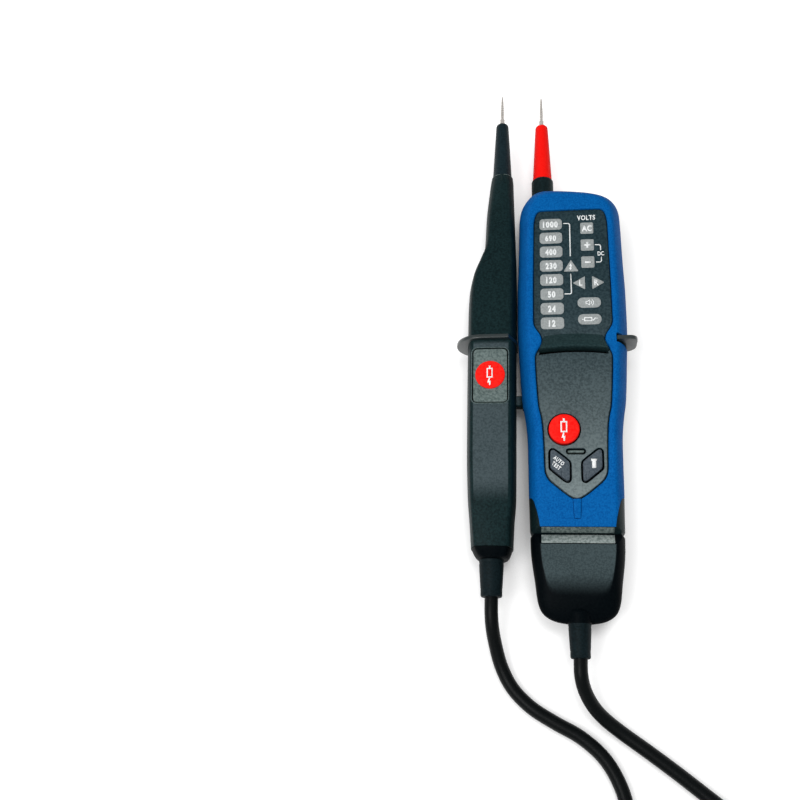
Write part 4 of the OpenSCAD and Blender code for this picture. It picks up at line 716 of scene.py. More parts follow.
# --- Housing of the display unit ---
def housing_edge():
    """The housing's parting edge and its face's edge as one smooth closed loop of four columns, x and y
    of each, through the right half's shares and the left half's mirrored ones."""
    right = np.array(SIDE_SHARES + RIGHT_TOP_SHARES)
    left = np.array(SIDE_SHARES + LEFT_TOP_SHARES)[::-1] * [-1, 1, -1, 1]
    rows = np.vstack([right, left])
    rows[:, ::2] *= HALF_W
    rows[:, 1::2] = body_y(rows[:, 1::2])
    return through(rows, 960, closed=True)


EDGE = housing_edge()
TOP_I = int(np.argmax(EDGE[:, 1]))


def loop_at(k, inset=0.0):
    """The housing's outline at a share of the way from the parting edge to the face's edge."""
    xy = EDGE[:, :2] + (EDGE[:, 2:] - EDGE[:, :2]) * k
    return moved_in(xy, inset) if inset else xy


def crossing(xy, y, side):
    """Index, with its fraction, at which an outline passes a place along the length."""
    i = np.arange(TOP_I + 1) if side > 0 else np.arange(len(xy), TOP_I - 1, -1)
    return np.interp(y, np.maximum.accumulate(xy[i % len(xy), 1]), i)


def picked(xy, start, stop, count):
    """Points of an outline between two indices."""
    i = np.linspace(start, stop, count)
    low = np.floor(i).astype(int)
    f = (i - low)[:, None]
    return xy[low % len(xy)] * (1 - f) + xy[(low + 1) % len(xy)] * f


GROOVE_Z = float(face_at(SEAM_Y)) - SEAM_DEPTH
SEAM_HALF = 0.612 * HALF_W
# Run along the housing for each millimetre of the groove's depth, towards the needles and the cord
SLOPE_HIGH, SLOPE_LOW = 0.75, -1.6


def groove_y(h, slope):
    """Where the seam's V groove meets the side at a share of the height."""
    y = SEAM_Y
    for _ in range(4):
        y = SEAM_Y + slope * max(0, PART_H + (float(face_at(y)) - PART_H) * h - GROOVE_Z)
    return y


def on_slope(h):
    """Whether a share of the height at the seam lies higher than just under the groove's floor."""
    return PART_H + (float(face_at(SEAM_Y)) - PART_H) * h > GROOVE_Z - 1.5


def front_z(xy, h):
    """Height at a share of the way from the parting plane up to the face over a point."""
    return PART_H + (face_at(xy[..., 1]) - PART_H) * h


FRONT = through(FRONT_LEVELS, 16)
REAR = through(REAR_LEVELS, 12)
GRIP_LOW_Y = SEAM_Y + 0.163 * APRON_LEN
GRIP_END = lambda k: np.interp(k, [0, .2, .45, .7, .95, 1],
                               [PANEL_LOW_Y + 1, -46, -47.6, -51.5, -56.3, GRIP_LOW_Y])
# The sides' first row stands a little above the parting plane, as a share of the front's height
SIDE_FOOT = 0.008
GRIP_RIM_R, GRIP_RIB_Y = 0.8, -51.4
# The dock peg of the probe: its foot in the display unit's left side, and its section's sides
PEG_X, PEG_Y, PEG_Z, PEG_LEN, PEG_H, PEG_R = -20.6, -0.952, 10.88, 5.0, 4.6, 0.7
# Lines that the panel's fill keeps: across where the face starts to fall, and beside the keys
CREASE_HALF, KEPT_LINES_X = 12.3, (-11.6, -9.4, 9.4, 11.6)
# Slot of the finger guard in the grip: its plate, and the gap before and behind it
GUARD_T, GUARD_OUT, GUARD_EDGE_R, GUARD_LOW_R, GUARD_TURN_Z = 1.9, 3.2, 3.5, 5.8, 18.48
GUARD_Y, GUARD_IN_X = FALL_Y - 0.31 * GUARD_T, 18.5
SLOT_LOW_Y, SLOT_HIGH_Y, SLOT_IN_X = GUARD_Y - GUARD_T - 1.25, GUARD_Y + 0.95, GUARD_IN_X - 0.35
GUARD_TOP = FACE_H - 0.4
# Buttons and the small dark window on the panel
TEST_R, TEST_RISE, SMALL_RISE, WELL_DEPTH, SKIRT = 6.45, 1.4, 0.9, 3.0, 2.1
BAR_W, BAR_H, BAR_Y = 7.48, 2.11, KEYS_Y + 0.1754 * PANEL_W
TEST_X, TEST_Y = -0.138 * PANEL_W, -17.878
RIDGE_LOW_Y, RIDGE_BOW, RIDGE_H = FALL_Y - 0.222 * PANEL_W, 0.031 * PANEL_W, 2.9
RIDGE_TOP_HALF, RIDGE_LOW_HALF = PANEL_W / 2 * 0.735, PANEL_W / 2 * 0.885


def panel_loop(inset=0.0, count=560):
    """The dark panel's outline: its table of shares and their mirror image, with soft corners."""
    shares = np.array(PANEL_SHARES)
    half = np.stack([shares[:, 0] * PANEL_W / 2, panel_y(shares[:, 1])], 1)
    left = half[:0:-1] * [-1, 1]
    return moved_in(evenly(soft_corners(np.vstack([half, left]), 2.2), count, True), inset)


def notched(p):
    """Draws points at the seam inwards, so that the two pieces meet in a shallow side notch."""
    depth = np.clip(1 - np.abs(p[..., 1] - SEAM_Y) / 1.1, 0, 1) * 0.9
    out = p.copy()
    out[..., 0] -= np.sign(p[..., 0]) * depth * (np.abs(p[..., 0]) > HALF_W * 0.6)
    return out


def make_grip():
    """Soft blue grip: sides through the front levels down to the black ends, the flat face between
    the face's edge and the panel, a round rim down to the panel, and the finger guard's slot."""
    grip = Shape()
    below, above = [], []
    for h, k in FRONT:
        xy = loop_at(k)
        end = float(GRIP_END(k))
        right = picked(xy, crossing(xy, end, 1), crossing(xy, SLOT_LOW_Y, 1), 110)
        rest = picked(xy, crossing(xy, SLOT_HIGH_Y, 1), crossing(xy, end, -1), 310)
        below.append(with_z(right, front_z(right, max(h, SIDE_FOOT))))
        above.append(with_z(rest, front_z(rest, max(h, SIDE_FOOT))))
    grip.grid(below).grid(above)
    first, last = below[-1][:, :2], above[-1][:, :2]
    low = np.linspace(last[-1], first[0], 30)[1:-1]
    slot = np.array([first[-1], [SLOT_IN_X, SLOT_LOW_Y], [SLOT_IN_X, SLOT_HIGH_Y], last[0]])
    outer = np.vstack([first, evenly(slot, 24)[1:-1], last, low])
    rim = GRIP_RIM_R
    panel = panel_loop()
    flat = moved_in(outer, 0.2)
    grip.grid([over_face(loop) for loop in (outer, flat)], closed=True)
    a = np.radians(np.linspace(0, 90, 6))
    inner = [moved_in(panel, -rim - 0.12)] + [moved_in(panel, -rim * (1 - s)) for s in np.sin(a)] + [panel]
    drop = [0] + list(rim * (1 - np.cos(a))) + [1.6]
    grip.grid([over_face(loop, -d) for loop, d in zip(inner, drop)], closed=True)
    grip.fill([flat, inner[0]], lambda p: face_at(p[:, 1]))
    lip = np.vstack([last[-1:], low, first[:1]])
    grip.grid([with_z(lip, face_at(GRIP_LOW_Y)), with_z(lip, face_at(GRIP_LOW_Y) - 1.2)])
    piece("blue_grip", grip, "display_unit", BLUE, ("front_grip",), thick=1.2, sharp=40,
          core=(0, 0, 14))


def make_slot_lining():
    """Lining of the guard's slot in near-black painted shade: the grip's side again, drawn inwards and
    closed at its inmost.
    """
    lining = Shape()
    inset = 1.12
    spread = np.linspace(SLOT_LOW_Y - 0.6, SLOT_HIGH_Y + 0.6, 12)
    rows = []
    for h, k in FRONT:
        xy = loop_at(k, inset)
        edge = picked(xy, crossing(xy, spread[0], 1), crossing(xy, spread[-1], 1), 12)
        rows.append(with_z(edge, front_z(edge, h) - inset * h))
    inmost = rows[-1].copy()
    inmost[:, 0] = SLOT_IN_X - 1.2
    piece("guard_slot_lining", lining.grid(rows + [inmost]), "display_unit", PAINTED_SHADE, (),
          thick=0.3, core=(0, 22, 14))


def make_grip_rib():
    """Small raised rib under the panel and, round it, a darker blue ring of painted shade for its fine
    groove, square to the sinking face.
    """
    rib = [[-1.64, -47.45], [-1.25, -55.43], [1.25, -55.43], [1.64, -47.45]]
    rib = evenly(soft_corners(np.array(rib) - [0, GRIP_RIB_Y], 0.3), 60, True)
    c, t = math.cos(TILT), math.sin(TILT)
    lay = lambda p: np.stack([p[..., 0], GRIP_RIB_Y + c * p[..., 1] - t * p[..., 2],
                              float(face_at(GRIP_RIB_Y)) + t * p[..., 1] + c * p[..., 2]], -1)
    piece("grip_key_rib", Shape().slab(rib, [(0, -0.6), (0, 0.45), (0.05, 0.58), (0.18, 0.64)], lay),
          "display_unit", BLUE, (), sharp=45)
    piece("grip_key_painted_groove_shade", Shape().slab(moved_in(rib, -0.2), [(0, -0.5), (0, 0.03)], lay),
          "display_unit", BLUE_PAINTED_SHADE, (), sharp=45)


def make_panel():
    """Dark panel with holes for the buttons and a groove under the ridge: flat top between bevelled
    edges, walls below. Its fills keep an edge across where the face starts to fall, and four lines
    beside the keys. Under every hole lies a floor of near-black painted shade, and under the panel's
    edge a seat of the same painted shade."""
    panel = Shape()
    gap, test_gap, key_gap = 0.34, 0.48, 0.45
    bevel, last_bevel = 0.12, 0.3
    outer = panel_loop(gap)
    u = np.linspace(-1, 1, 60)
    foot = RIDGE_LOW_Y + RIDGE_BOW * (1 - u * u)
    groove = np.vstack([np.stack([u * (RIDGE_LOW_HALF - 0.4), foot - 1.25], 1),
                        np.stack([u[::-1] * (RIDGE_LOW_HALF - 0.6), foot[::-1] + 0.5], 1)])
    holes = [circle(TEST_R + test_gap, TEST_X, TEST_Y, 96), key_loop(1, key_gap), key_loop(-1, key_gap),
             round_rect(BAR_W + 0.7, BAR_H + 0.4, 1.2, 0, BAR_Y), evenly(groove, 200, True)]
    tops = [moved_in(outer, 0.25)] + [moved_in(hole, -bevel) for hole in holes]
    flats = [moved_in(outer, 0.6)] + [moved_in(hole, -last_bevel) for hole in holes]
    walls = [outer] + holes
    for flat, top, wall in zip(flats, tops, walls):
        panel.grid([over_panel(flat), over_panel(top), over_panel(wall, -bevel),
                    over_panel(wall, -WELL_DEPTH)], closed=True)
    crease = [np.stack([np.linspace(-CREASE_HALF, CREASE_HALF, 30), np.full(30, FALL_Y)], 1)]
    for x in KEPT_LINES_X:
        crease.append(np.stack([np.full(24, x), np.linspace(KEYS_Y + 4, FALL_Y - 5, 24)], 1))
    panel.fill(flats, lambda p: panel_at(p[:, 1]), crease)
    panel.fill(walls, lambda p: panel_at(p[:, 1]) - WELL_DEPTH, crease)
    wells = Shape()
    for hole in holes:
        floor = moved_in(hole, -last_bevel)
        levels = [-0.02 - WELL_DEPTH, -0.5 - WELL_DEPTH]
        wells.grid([over_panel(floor, z) for z in levels], closed=True)
        for z in levels:
            wells.fill([floor], lambda p: panel_at(p[:, 1]) + z)
    piece("button_wells", wells, "display_unit", PAINTED_SHADE, (), sharp=50)
    seat = []
    for d, z in ((-0.4, -1.5), (0.7, -1.5), (0.7, -2.2), (-0.4, -2.2), (-0.4, -1.5)):
        seat.append(over_face(panel_loop(d), z))
    piece("panel_seat", Shape().grid(seat, closed=True), "display_unit", PAINTED_SHADE, (), sharp=50)
    piece("display_panel", panel, "display_unit", PANEL, ("front_shell",), sharp=30)


def key_loop(side, grow=0.0, y=None):
    """Outline of a small key, for the right-hand one or mirrored for the left-hand one."""
    y = KEYS_Y if y is None else y
    loop = evenly(soft_corners(np.array(KEY_SHARES) * PANEL_W / 2, 1.3), 120, True)[::-1] + [0, y]
    if side < 0:
        loop = (loop * [-1, 1])[::-1]
    if np.sum(loop[:, 0] * np.roll(loop[:, 1], -1) - np.roll(loop[:, 0], -1) * loop[:, 1]) < 0:
        loop = loop[::-1]
    return moved_in(loop, -grow)


def make_front_ends():
    """Black lower ends of the front shell beside the blue, and the upper slope of the seam's groove."""
    ends = Shape()
    slope = []
    for h, k in FRONT:
        xy = loop_at(k)
        low, high = groove_y(h, SLOPE_HIGH), float(GRIP_END(k)) - 0.12
        sides = []
        for side in (1, -1):
            edge = picked(xy, crossing(xy, low, side), crossing(xy, max(high, low), side), 14)
            sides.append(notched(with_z(edge, front_z(edge, max(h, SIDE_FOOT)))))
        slope.append(sides)
    for side in (0, 1):
        ends.grid([row[side] for row in slope])
    ends.grid([np.linspace(row[0][0], row[1][0], 40) for row, (h, _) in zip(slope, FRONT) if on_slope(h)])
    seam_face("seam_face_upper", groove_y(1, SLOPE_HIGH), 1)
    piece("front_shell_ends", ends, "display_unit", SHELL, (), thick=1.1,
          sharp=40, core=(0, -50, 14))


def seam_face(name, y, way):
    """A grained grey strip, as wide as the flat face, down one slope of the seam's groove: darker on the
    upper slope as painted shade, lighter on the lower one as painted light.
    """
    top, low = np.array([y, float(face_at(y))]), np.array([SEAM_Y + way * 0.12, GROOVE_Z + 0.15])
    length = float(np.linalg.norm(low - top))
    down = (low - top) / length
    out = np.array([-down[1], down[0]]) * (1 if down[0] > 0 else -1)
    place = lambda p: np.stack([p[..., 0], top[0] + down[0] * p[..., 1] + out[0] * p[..., 2],
                                top[1] + down[1] * p[..., 1] + out[1] * p[..., 2]], -1)
    strip = round_rect(2 * SEAM_HALF, length - 1.0 - 0.15 * way, 0.2, 0, length / 2 + 0.075 * (1 + way))
    piece(name, Shape().slab(strip, [(0, -0.3), (0, 0.03), (0.05, 0.08)], place), "display_unit",
          SEAM_UPPER_SHADED if way > 0 else SEAM_LOWER_LIT, (), sharp=45)


def make_ridge():
    """Finger ridge: a bowed strip that rises from the panel towards the cord and drops steeply."""
    u = np.linspace(-1, 1, 81)[None, :]
    v = np.concatenate([np.linspace(0, 0.8, 15), np.linspace(0.83, 1, 12)])[:, None]
    half = RIDGE_TOP_HALF + (RIDGE_LOW_HALF - RIDGE_TOP_HALF) * v
    high_y = FALL_Y - 0.1
    y = high_y + (RIDGE_LOW_Y - high_y) * np.minimum(v / 0.97, 1) + RIDGE_BOW * (1 - u * u)
    level = FACE_H - PANEL_SINK
    climb = np.interp(v, [0, 0.03, 0.74, 0.80, 0.87, 0.93, 0.97, 1],
                      [-0.06, 0.03, 0.93, 0.985, 1.0, 0.93, 0.62, -0.45])
    ends = np.clip((1 - np.abs(u)) / 0.045, 0, 1)
    ends = ends * (2 - ends)
    z = level - 0.1 + (RIDGE_H - 0.1) * climb * ends
    x = u * half
    top = np.stack([x, y, z + 0 * x], -1)
    flat = top.copy()
    flat[..., 2] = level - 1.95
    ridge = Shape().grid(top).grid(flat)
    for end in (0, -1):
        ridge.grid([top[end], flat[end]])
    for end in (0, -1):
        ridge.grid([top[:, end], flat[:, end]])
    piece("finger_ridge", ridge, "display_unit", RIDGE, (), sharp=50)


def make_end_cap():
    """Black end cap: sides through front and rear levels, the falling face, the flat back, the lower
    slope of the seam's groove, and a round socket for the strain relief."""
    cap = Shape()
    front, rear = [], []
    for h, k in FRONT:
        xy = loop_at(k)
        high = groove_y(h, SLOPE_LOW)
        edge = picked(xy, crossing(xy, high, -1), len(xy) + crossing(xy, high, 1), 200)
        front.append(notched(with_z(edge, front_z(edge, h))))
    for h, k in REAR:
        xy = loop_at(k)
        edge = picked(xy, crossing(xy, SEAM_Y - 0.1, -1), len(xy) + crossing(xy, SEAM_Y - 0.1, 1), 200)
        rear.append(notched(with_z(edge, PART_H * (1 - h))))
    cap.grid(rear[::-1] + front[1:])
    for rows, height in ((front, lambda p: face_at(p[:, 1])), (rear, lambda p: 0 * p[:, 1])):
        last = rows[-1][:, :2]
        loop = np.vstack([last, np.linspace(last[-1], last[0], 24)[1:-1]])
        inner = loop + 0.03 * (loop.mean(0) - loop)
        cap.grid([with_z(loop, height(loop)), with_z(inner, height(inner))], closed=True)
        cap.fill([inner], height)
    cap.grid([np.linspace(row[0], row[-1], 24) for row, (h, _) in zip(front, FRONT) if on_slope(h)])
    seam_face("seam_face_lower", groove_y(1, SLOPE_LOW), -1)
    piece("end_cap_shell", cap, "display_unit", CAP, ("end_cap",), thick=1.5, sharp=40,
          core=(0, -80, 12))
    socket = Shape().turned(soft_corners([[0, 6.6], [3.1, 6.6], [4.9, 4.9], [4.9, -0.1], [0, -0.1]], 0.9,
                                         closed=False), along_y(0, LOW_Y, PART_H))
    piece("relief_socket", socket, "display_unit", CAP, ())


DOOR_HALF_W, DOOR_LOW_Y, DOOR_HIGH_Y, DOOR_SCREW_Y = 11.74, -58.90, -3.78, -56.35
SCREWS = [(15.18, 87.49), (-15.18, 87.49), (15.52, 3.96), (-15.52, 3.96)]
SCREW_HOLE_R, SCREW_HOLE_DEPTH = 2.575, 7.75


def recess(shape, x, y, r, mouth_z, floor_z, count=40):
    """A round recess from below: bevelled mouth, wall and floor."""
    ring = circle(r, x, y, count)
    wide = circle(r + 0.25, x, y, count)
    shape.grid([with_z(wide, mouth_z), with_z(ring, mouth_z + 0.25), with_z(ring, floor_z),
                with_z(circle(0.02, x, y, count), floor_z)], closed=True)
    return wide


def make_rear_shell():
    """Black rear shell: sides through the rear levels and a flat back with the battery door's
    opening and four screw recesses."""
    rear = Shape()
    rows = []
    for h, k in REAR:
        xy = loop_at(k)
        edge = picked(xy, crossing(xy, SEAM_Y + 0.1, 1), crossing(xy, SEAM_Y + 0.1, -1), 420)
        rows.append(notched(with_z(edge, PART_H * (1 - h) - (0.05 if h == 0 else 0))))
    rear.grid(rows)
    last = rows[-1][:, :2]
    outer = np.vstack([last, np.linspace(last[-1], last[0], 30)[1:-1]])
    inner = moved_in(outer, 0.5)
    rear.grid([with_z(outer, 0), with_z(inner, 0)], closed=True)
    door = round_rect(2 * DOOR_HALF_W + 0.5, DOOR_HIGH_Y - DOOR_LOW_Y + 0.5, 1.6, 0,
                      (DOOR_HIGH_Y + DOOR_LOW_Y) / 2)
    rear.grid([with_z(moved_in(door, -0.25), 0), with_z(door, 0.25), with_z(door, 2.4)], closed=True)
    mouths = [recess(rear, x, y, SCREW_HOLE_R, 0, SCREW_HOLE_DEPTH) for x, y in SCREWS]
    rear.fill([inner, moved_in(door, -0.25)] + mouths, 0.0)
    rear.fill([door], 2.4)
    piece("rear_shell_skin", rear, "display_unit", SHELL, ("rear_shell",), sharp=38,
          core=(0, 20, 10))


def make_door():
    """Battery door: a plate with round edges, grip ribs and a countersunk screw hole."""
    outline = round_rect(2 * DOOR_HALF_W, DOOR_HIGH_Y - DOOR_LOW_Y, 1.4, 0, (DOOR_HIGH_Y + DOOR_LOW_Y) / 2)
    door = Shape()
    rings = [(0.35, 0.02), (0.1, 0.12), (0, 0.35), (0, 2.2)]
    rows = [with_z(moved_in(outline, d), z) for d, z in rings]
    door.grid(rows, closed=True)
    mouth = recess(door, 0, DOOR_SCREW_Y, 2.45, 0.02, 1.0)
    door.fill([rows[0][:, :2], mouth], 0.02)
    door.fill([outline], 2.2)
    for i in range(-2, 3):
        rib = round_rect(DOOR_HALF_W, 0.8, 0.38, 0, DOOR_HIGH_Y - 6 + i * 1.44)
        door.slab(rib, [(0.25, 0), (0, 0.18), (0, 0.6)])
    piece("battery_door_plate", door, "display_unit", CAP, ("battery_door",), sharp=38)


def plate_rings(t):
    """Rings for a slab of thickness t with a small round along the edges of both sides."""
    return [(0.4, 0), (0.1, 0.1), (0, 0.4), (0, t - 0.4), (0.1, t - 0.1), (0.4, t)]


def make_guard():
    """Finger guard: a flat plate across the right side that ends in an ear, with a small round above
    and a large one below."""
    right = HALF_W + GUARD_OUT
    low, high = np.radians(np.linspace(-90, 0, 24)), np.radians(np.linspace(0, 90, 12))
    ear = np.vstack([
        np.stack([right - GUARD_LOW_R + GUARD_LOW_R * np.cos(low),
                  GUARD_TURN_Z + GUARD_LOW_R * np.sin(low)], 1),
        np.stack([right - GUARD_EDGE_R + GUARD_EDGE_R * np.cos(high),
                  GUARD_TOP - GUARD_EDGE_R + GUARD_EDGE_R * np.sin(high)], 1),
        [[GUARD_IN_X, GUARD_TOP], [GUARD_IN_X, GUARD_TURN_Z - GUARD_LOW_R]]])
    guard = Shape().slab(ear, plate_rings(GUARD_T), upright(GUARD_Y, GUARD_T))
    piece("finger_guard", guard, "display_unit", GUARD, (), sharp=40)


def make_dock_socket():
    """Mouth of near-black painted shade and a low rim on the left side, where the probe's peg goes in."""
    xy = loop_at(0.05)
    side = float(xy[int(round(crossing(xy, PEG_Y, -1))) % len(xy), 0])
    place = lambda p: np.stack([side - p[..., 2], p[..., 0], p[..., 1]], -1)
    for name, grow, rise, look in (("dock_socket_rim", 0.85, 0.12, SHELL),
                                   ("dock_socket_mouth", 0.3, 0.2, PAINTED_SHADE)):
        mouth = round_rect(PEG_LEN + 2 * grow, PEG_H + 2 * grow, PEG_R + grow, PEG_Y, PEG_Z)
        piece(name, Shape().slab(mouth, [(0, -0.8), (0, rise - 0.08), (0.08, rise)], place), "display_unit",
              look, (), sharp=50)


def needle_end(x, z):
    """Place along the length of the housing's needle end, over x and height."""
    x, z = np.broadcast_arrays(np.asarray(x, float), np.asarray(z, float))
    share = np.clip((z - PART_H) / (FACE_H - PART_H), 0, 1)
    order = np.argsort(FRONT[:, 0])
    k = np.interp(share, FRONT[order, 0], FRONT[order, 1])
    near = (EDGE[:, 1] > TOP_Y - 12) & (np.abs(EDGE[:, 0]) < 0.8 * HALF_W)
    rows = EDGE[near]
    rows = rows[np.argsort(rows[:, 0])]
    sill = np.interp(x, rows[:, 0], rows[:, 1])
    rows = rows[np.argsort(rows[:, 2])]
    crest = np.interp(x, rows[:, 2], rows[:, 3])
    return sill + (crest - sill) * k


def make_torch_window():
    """Clear window of the torch and the thin ring round it, flush with the slanted needle end."""
    x0, z0 = 0.187 * BODY_W, 19.76
    a = np.linspace(0, 2 * np.pi, 64, endpoint=False)

    def rings(profile):
        """A surface through circles, each of a radius and a distance out from the needle end."""
        rows = []
        for r, d in profile:
            x, z = x0 + r * np.cos(a), z0 + r * np.sin(a)
            rows.append(np.stack([x, needle_end(x, z) + d, z], 1))
        return Shape().grid(rows, closed=True)

    rim = rings([(2.3, -3.0), (2.3, 0.02), (2.4, 0.14), (2.7, 0.14), (2.8, 0.0), (2.8, -3.0), (2.3, -3.0)])
    piece("torch_ring", rim, "display_unit", SHELL, ())
    disc = rings([(0.01, -1.2), (2.28, -1.2), (2.28, -0.1), (2.1, 0.02), (1.2, 0.06), (0.01, 0.08)])
    piece("torch_front", disc, "display_unit", CLEAR, ("torch_lens",), sharp=50)


make_grip()
make_slot_lining()
make_grip_rib()
make_panel()
make_front_ends()
make_ridge()
make_end_cap()
make_rear_shell()
make_door()
make_guard()
make_dock_socket()
make_torch_window()


# --- Windows ---
VOLT_X, VOLT_TOP_Y = -0.257 * PANEL_W, PANEL_TOP_Y - 1.278 * WINDOW_H
RIGHT_X = 0.213 * PANEL_W
SQUARE_YS = [VOLT_TOP_Y - (0.053 + i * 0.1745) * COLUMN_LEN for i in range(3)]
HAZARD_X, HAZARD_Y = -0.005 * PANEL_W, VOLT_TOP_Y - 0.4286 * COLUMN_LEN
PHASE_Y = VOLT_TOP_Y - 0.61 * COLUMN_LEN
STATUS_YS = [VOLT_TOP_Y - 0.807 * COLUMN_LEN, VOLT_TOP_Y - 0.97 * COLUMN_LEN]
PANEL_Z = FACE_H - PANEL_SINK
LENS_Z = PANEL_Z + 0.12
LENS_RINGS = [(0, PANEL_Z - 1.2), (0, LENS_Z - 0.1), (0.04, LENS_Z - 0.03), (0.14, LENS_Z)]


def make_windows():
    """Flush windows of clouded plastic, each a flat slab with a small round edge."""
    groups = {
        "volt_lenses": [round_rect(10, 5.6, 1.6, VOLT_X, VOLT_TOP_Y - i * PITCH) for i in range(8)],
        "polarity_lenses": [round_rect(5.7, 5.7, 0.7, RIGHT_X, y) for y in SQUARE_YS],
        "hazard_lens": [soft_corners([[HAZARD_X - 3.3, HAZARD_Y - 3.1], [HAZARD_X + 3.3, HAZARD_Y - 3.1],
                                      [HAZARD_X, HAZARD_Y + 2.7]], 0.5)],
        "phase_lenses": [soft_corners(np.array(
            [[0, -3.25], [5.3, 0], [0, 3.25]])[::side] * [side, 1] + [RIGHT_X + side * 1.54, PHASE_Y], 0.5)
            for side in (1, -1)],
        "status_lenses": [round_rect(10, 4.93, 2.24, RIGHT_X, y) for y in STATUS_YS]}
    for node, outlines in groups.items():
        shape = Shape()
        for outline in outlines:
            shape.slab(outline, LENS_RINGS)
        name = node.replace("lenses", "windows").replace("lens", "window")
        piece(name, shape, "display_unit", LENS, (node,))


make_windows()


# --- Buttons ---
def make_buttons():
    """Test button with a round edge and a slightly raised middle, the two soft keys with their ribs, and
    the small dark window, all square to the panel."""
    a = np.radians(np.linspace(0, 90, 8))
    edge = 0.8
    cap = [[TEST_R, -SKIRT], [TEST_R, 0.0]] + [
        [TEST_R - edge + edge * math.cos(t), TEST_RISE - edge + edge * math.sin(t)] for t in a]
    crown = [[q * (TEST_R - edge), TEST_RISE + 0.1 * (1 - q * q)] for q in np.linspace(0.9, 0, 8)]
    test = Shape().turned(cap + crown + [[0, -SKIRT], [TEST_R, -SKIRT]], on_panel(TEST_X, TEST_Y), 96)
    piece("test_key", test, "test_key", RED, ("test_button",), sharp=50)
    for side, body, node, ribs in (
            (-1, "auto_key", "auto_button", ((4.95, -4.55, 2.9), (6.4, -3.45, 2.5))),
            (1, "torch_key", "torch_button", ((5.15, -4.05, 2.9), (3.65, -4.9, 2.5)))):
        loop = key_loop(side, -0.3, 0)
        key = Shape().slab(loop, [(0, -SKIRT), (0, 0.4), (0.07, 0.66), (0.2, 0.82), (0.38, SMALL_RISE)],
                           on_panel(0, KEYS_Y))
        for x, y, h in ribs:
            key.slab(round_rect(0.5, h, 0.24, side * x, y), [(0, 0.7), (0, 1.05), (0.12, 1.16)],
                     on_panel(0, KEYS_Y))
        piece(node + "_cap", key, body, KEYS, (node,), sharp=50)
    bar = Shape().slab(round_rect(BAR_W - 0.7, 0.95, 0.46), [(0, -WELL_DEPTH), (0, -0.35), (0.12, -0.22)],
                       on_panel(0, BAR_Y))
    piece("bar_window", bar, "display_unit", PAD, ("indicator_bar",))


make_buttons()


# --- Needles, sleeves, collar and strain reliefs ---
def needle_profile(rod):
    """Rod, ferrule with a bevelled lip, and a long point that tapers in a gentle bow."""
    r, s, f, p = NEEDLE_R, SLEEVE_LEN, FERRULE_LEN, POINT_LEN
    ferrule = [[r * q, s + f * u] for q, u in ((1, 0.80), (1.03, 0.84), (1.03, 0.95), (0.86, 1))]
    point = [[r * q, s + f + p * u] for q, u in (
        (0.77, 0.25), (0.66, 0.5), (0.48, 0.8), (0.30, 0.95), (0.18, 0.99), (0, 1))]
    return [[0, -rod], [r, -rod]] + ferrule + [[r * 0.79, s + f + 0.1]] + point


def sleeve_profile(plug):
    """A long cone with a round front edge and a bore for the rod."""
    root, tip, s = SLEEVE_ROOT_R, SLEEVE_TIP_R, SLEEVE_LEN
    edge = tip * 0.5
    a = np.radians(np.linspace(0, 90, 7))
    cone = [[root + (tip - root) * u, u * (s - edge)] for u in np.linspace(0.03, 0.97, 20)]
    front = [[tip - edge + edge * math.cos(t), s - edge + edge * math.sin(t)] for t in a]
    return [[1.2, -plug], [root - 0.15, -plug], [root, 0.15]] + cone + front + [[1.2, s], [1.2, -plug]]


def relief_profile(length, root, end):
    """A tapering sleeve on the lead with two shallow rings and a round front edge."""
    s = np.linspace(0, 1, 40)
    r = root + (end - root) * np.clip(s / 0.9, 0, 1)
    r = r - 0.16 * np.exp(-((s - 0.08) / 0.03) ** 2) - 0.10 * np.exp(-((s - 0.82) / 0.03) ** 2)
    body = np.stack([r, s * (length - 0.6)], 1).tolist()
    front = [[end - 0.25, length - 0.15], [end - 0.6, length], [0, length]]
    return [[0, -2.0], [root, -2.0]] + body + front


def make_turned():
    """Collar, the two sleeves with their needles and the two strain reliefs, each turned round an axis
    along the object."""
    start, r = 100.0, COLLAR_R
    out = TIP_SEAT_Y - start
    collar = soft_corners([[0, -6.0], [r, -6.0], [r, out - 1.3], [r - 0.05, out - 0.5], [r - 0.7, out],
                           [0, out]], 0.5, closed=False)
    piece("needle_collar", Shape().turned(collar, along_y(TIP_X, start, TIP_Z)), "display_unit", SHELL,
          ("tip_collar",))
    for name, body, x, y, z, look, slot, nodes, plug in (
            ("main", "display_unit", TIP_X, TIP_SEAT_Y + 0.08, TIP_Z, SLEEVE, "red_plastic",
             ("red_sleeve", "main_needle"), 0.04),
            ("probe", "hand_probe", PROBE_TIP_X, PROBE_TOP_Y + 0.08, PROBE_PART_Z, BLACK_SLEEVE,
             "probe_black", ("probe_sleeve", "probe_needle"), 4.0)):
        piece(name + "_insulating_sleeve", Shape().turned(sleeve_profile(plug), along_y(x, y, z)),
              body, look, nodes[:1], sharp=50)
        piece(name + "_steel_needle", Shape().turned(needle_profile(9), along_y(x, y, z), 48), body, STEEL,
              nodes[1:], sharp=50)
    piece("main_relief", Shape().turned(relief_profile(13.4, 4.65, 4.03), along_y(0, LOW_Y, PART_H, -1)),
          "display_unit", RELIEF, ("main_strain_relief",), sharp=50)
    piece("probe_relief", Shape().turned(relief_profile(15.2, 5.25, 4.5),
                                         along_y(PROBE_MID_X, PROBE_SEAM_Y - 6.1, PROBE_MID_Z, -1)),
          "hand_probe", RELIEF, ("probe_strain_relief",), sharp=50)


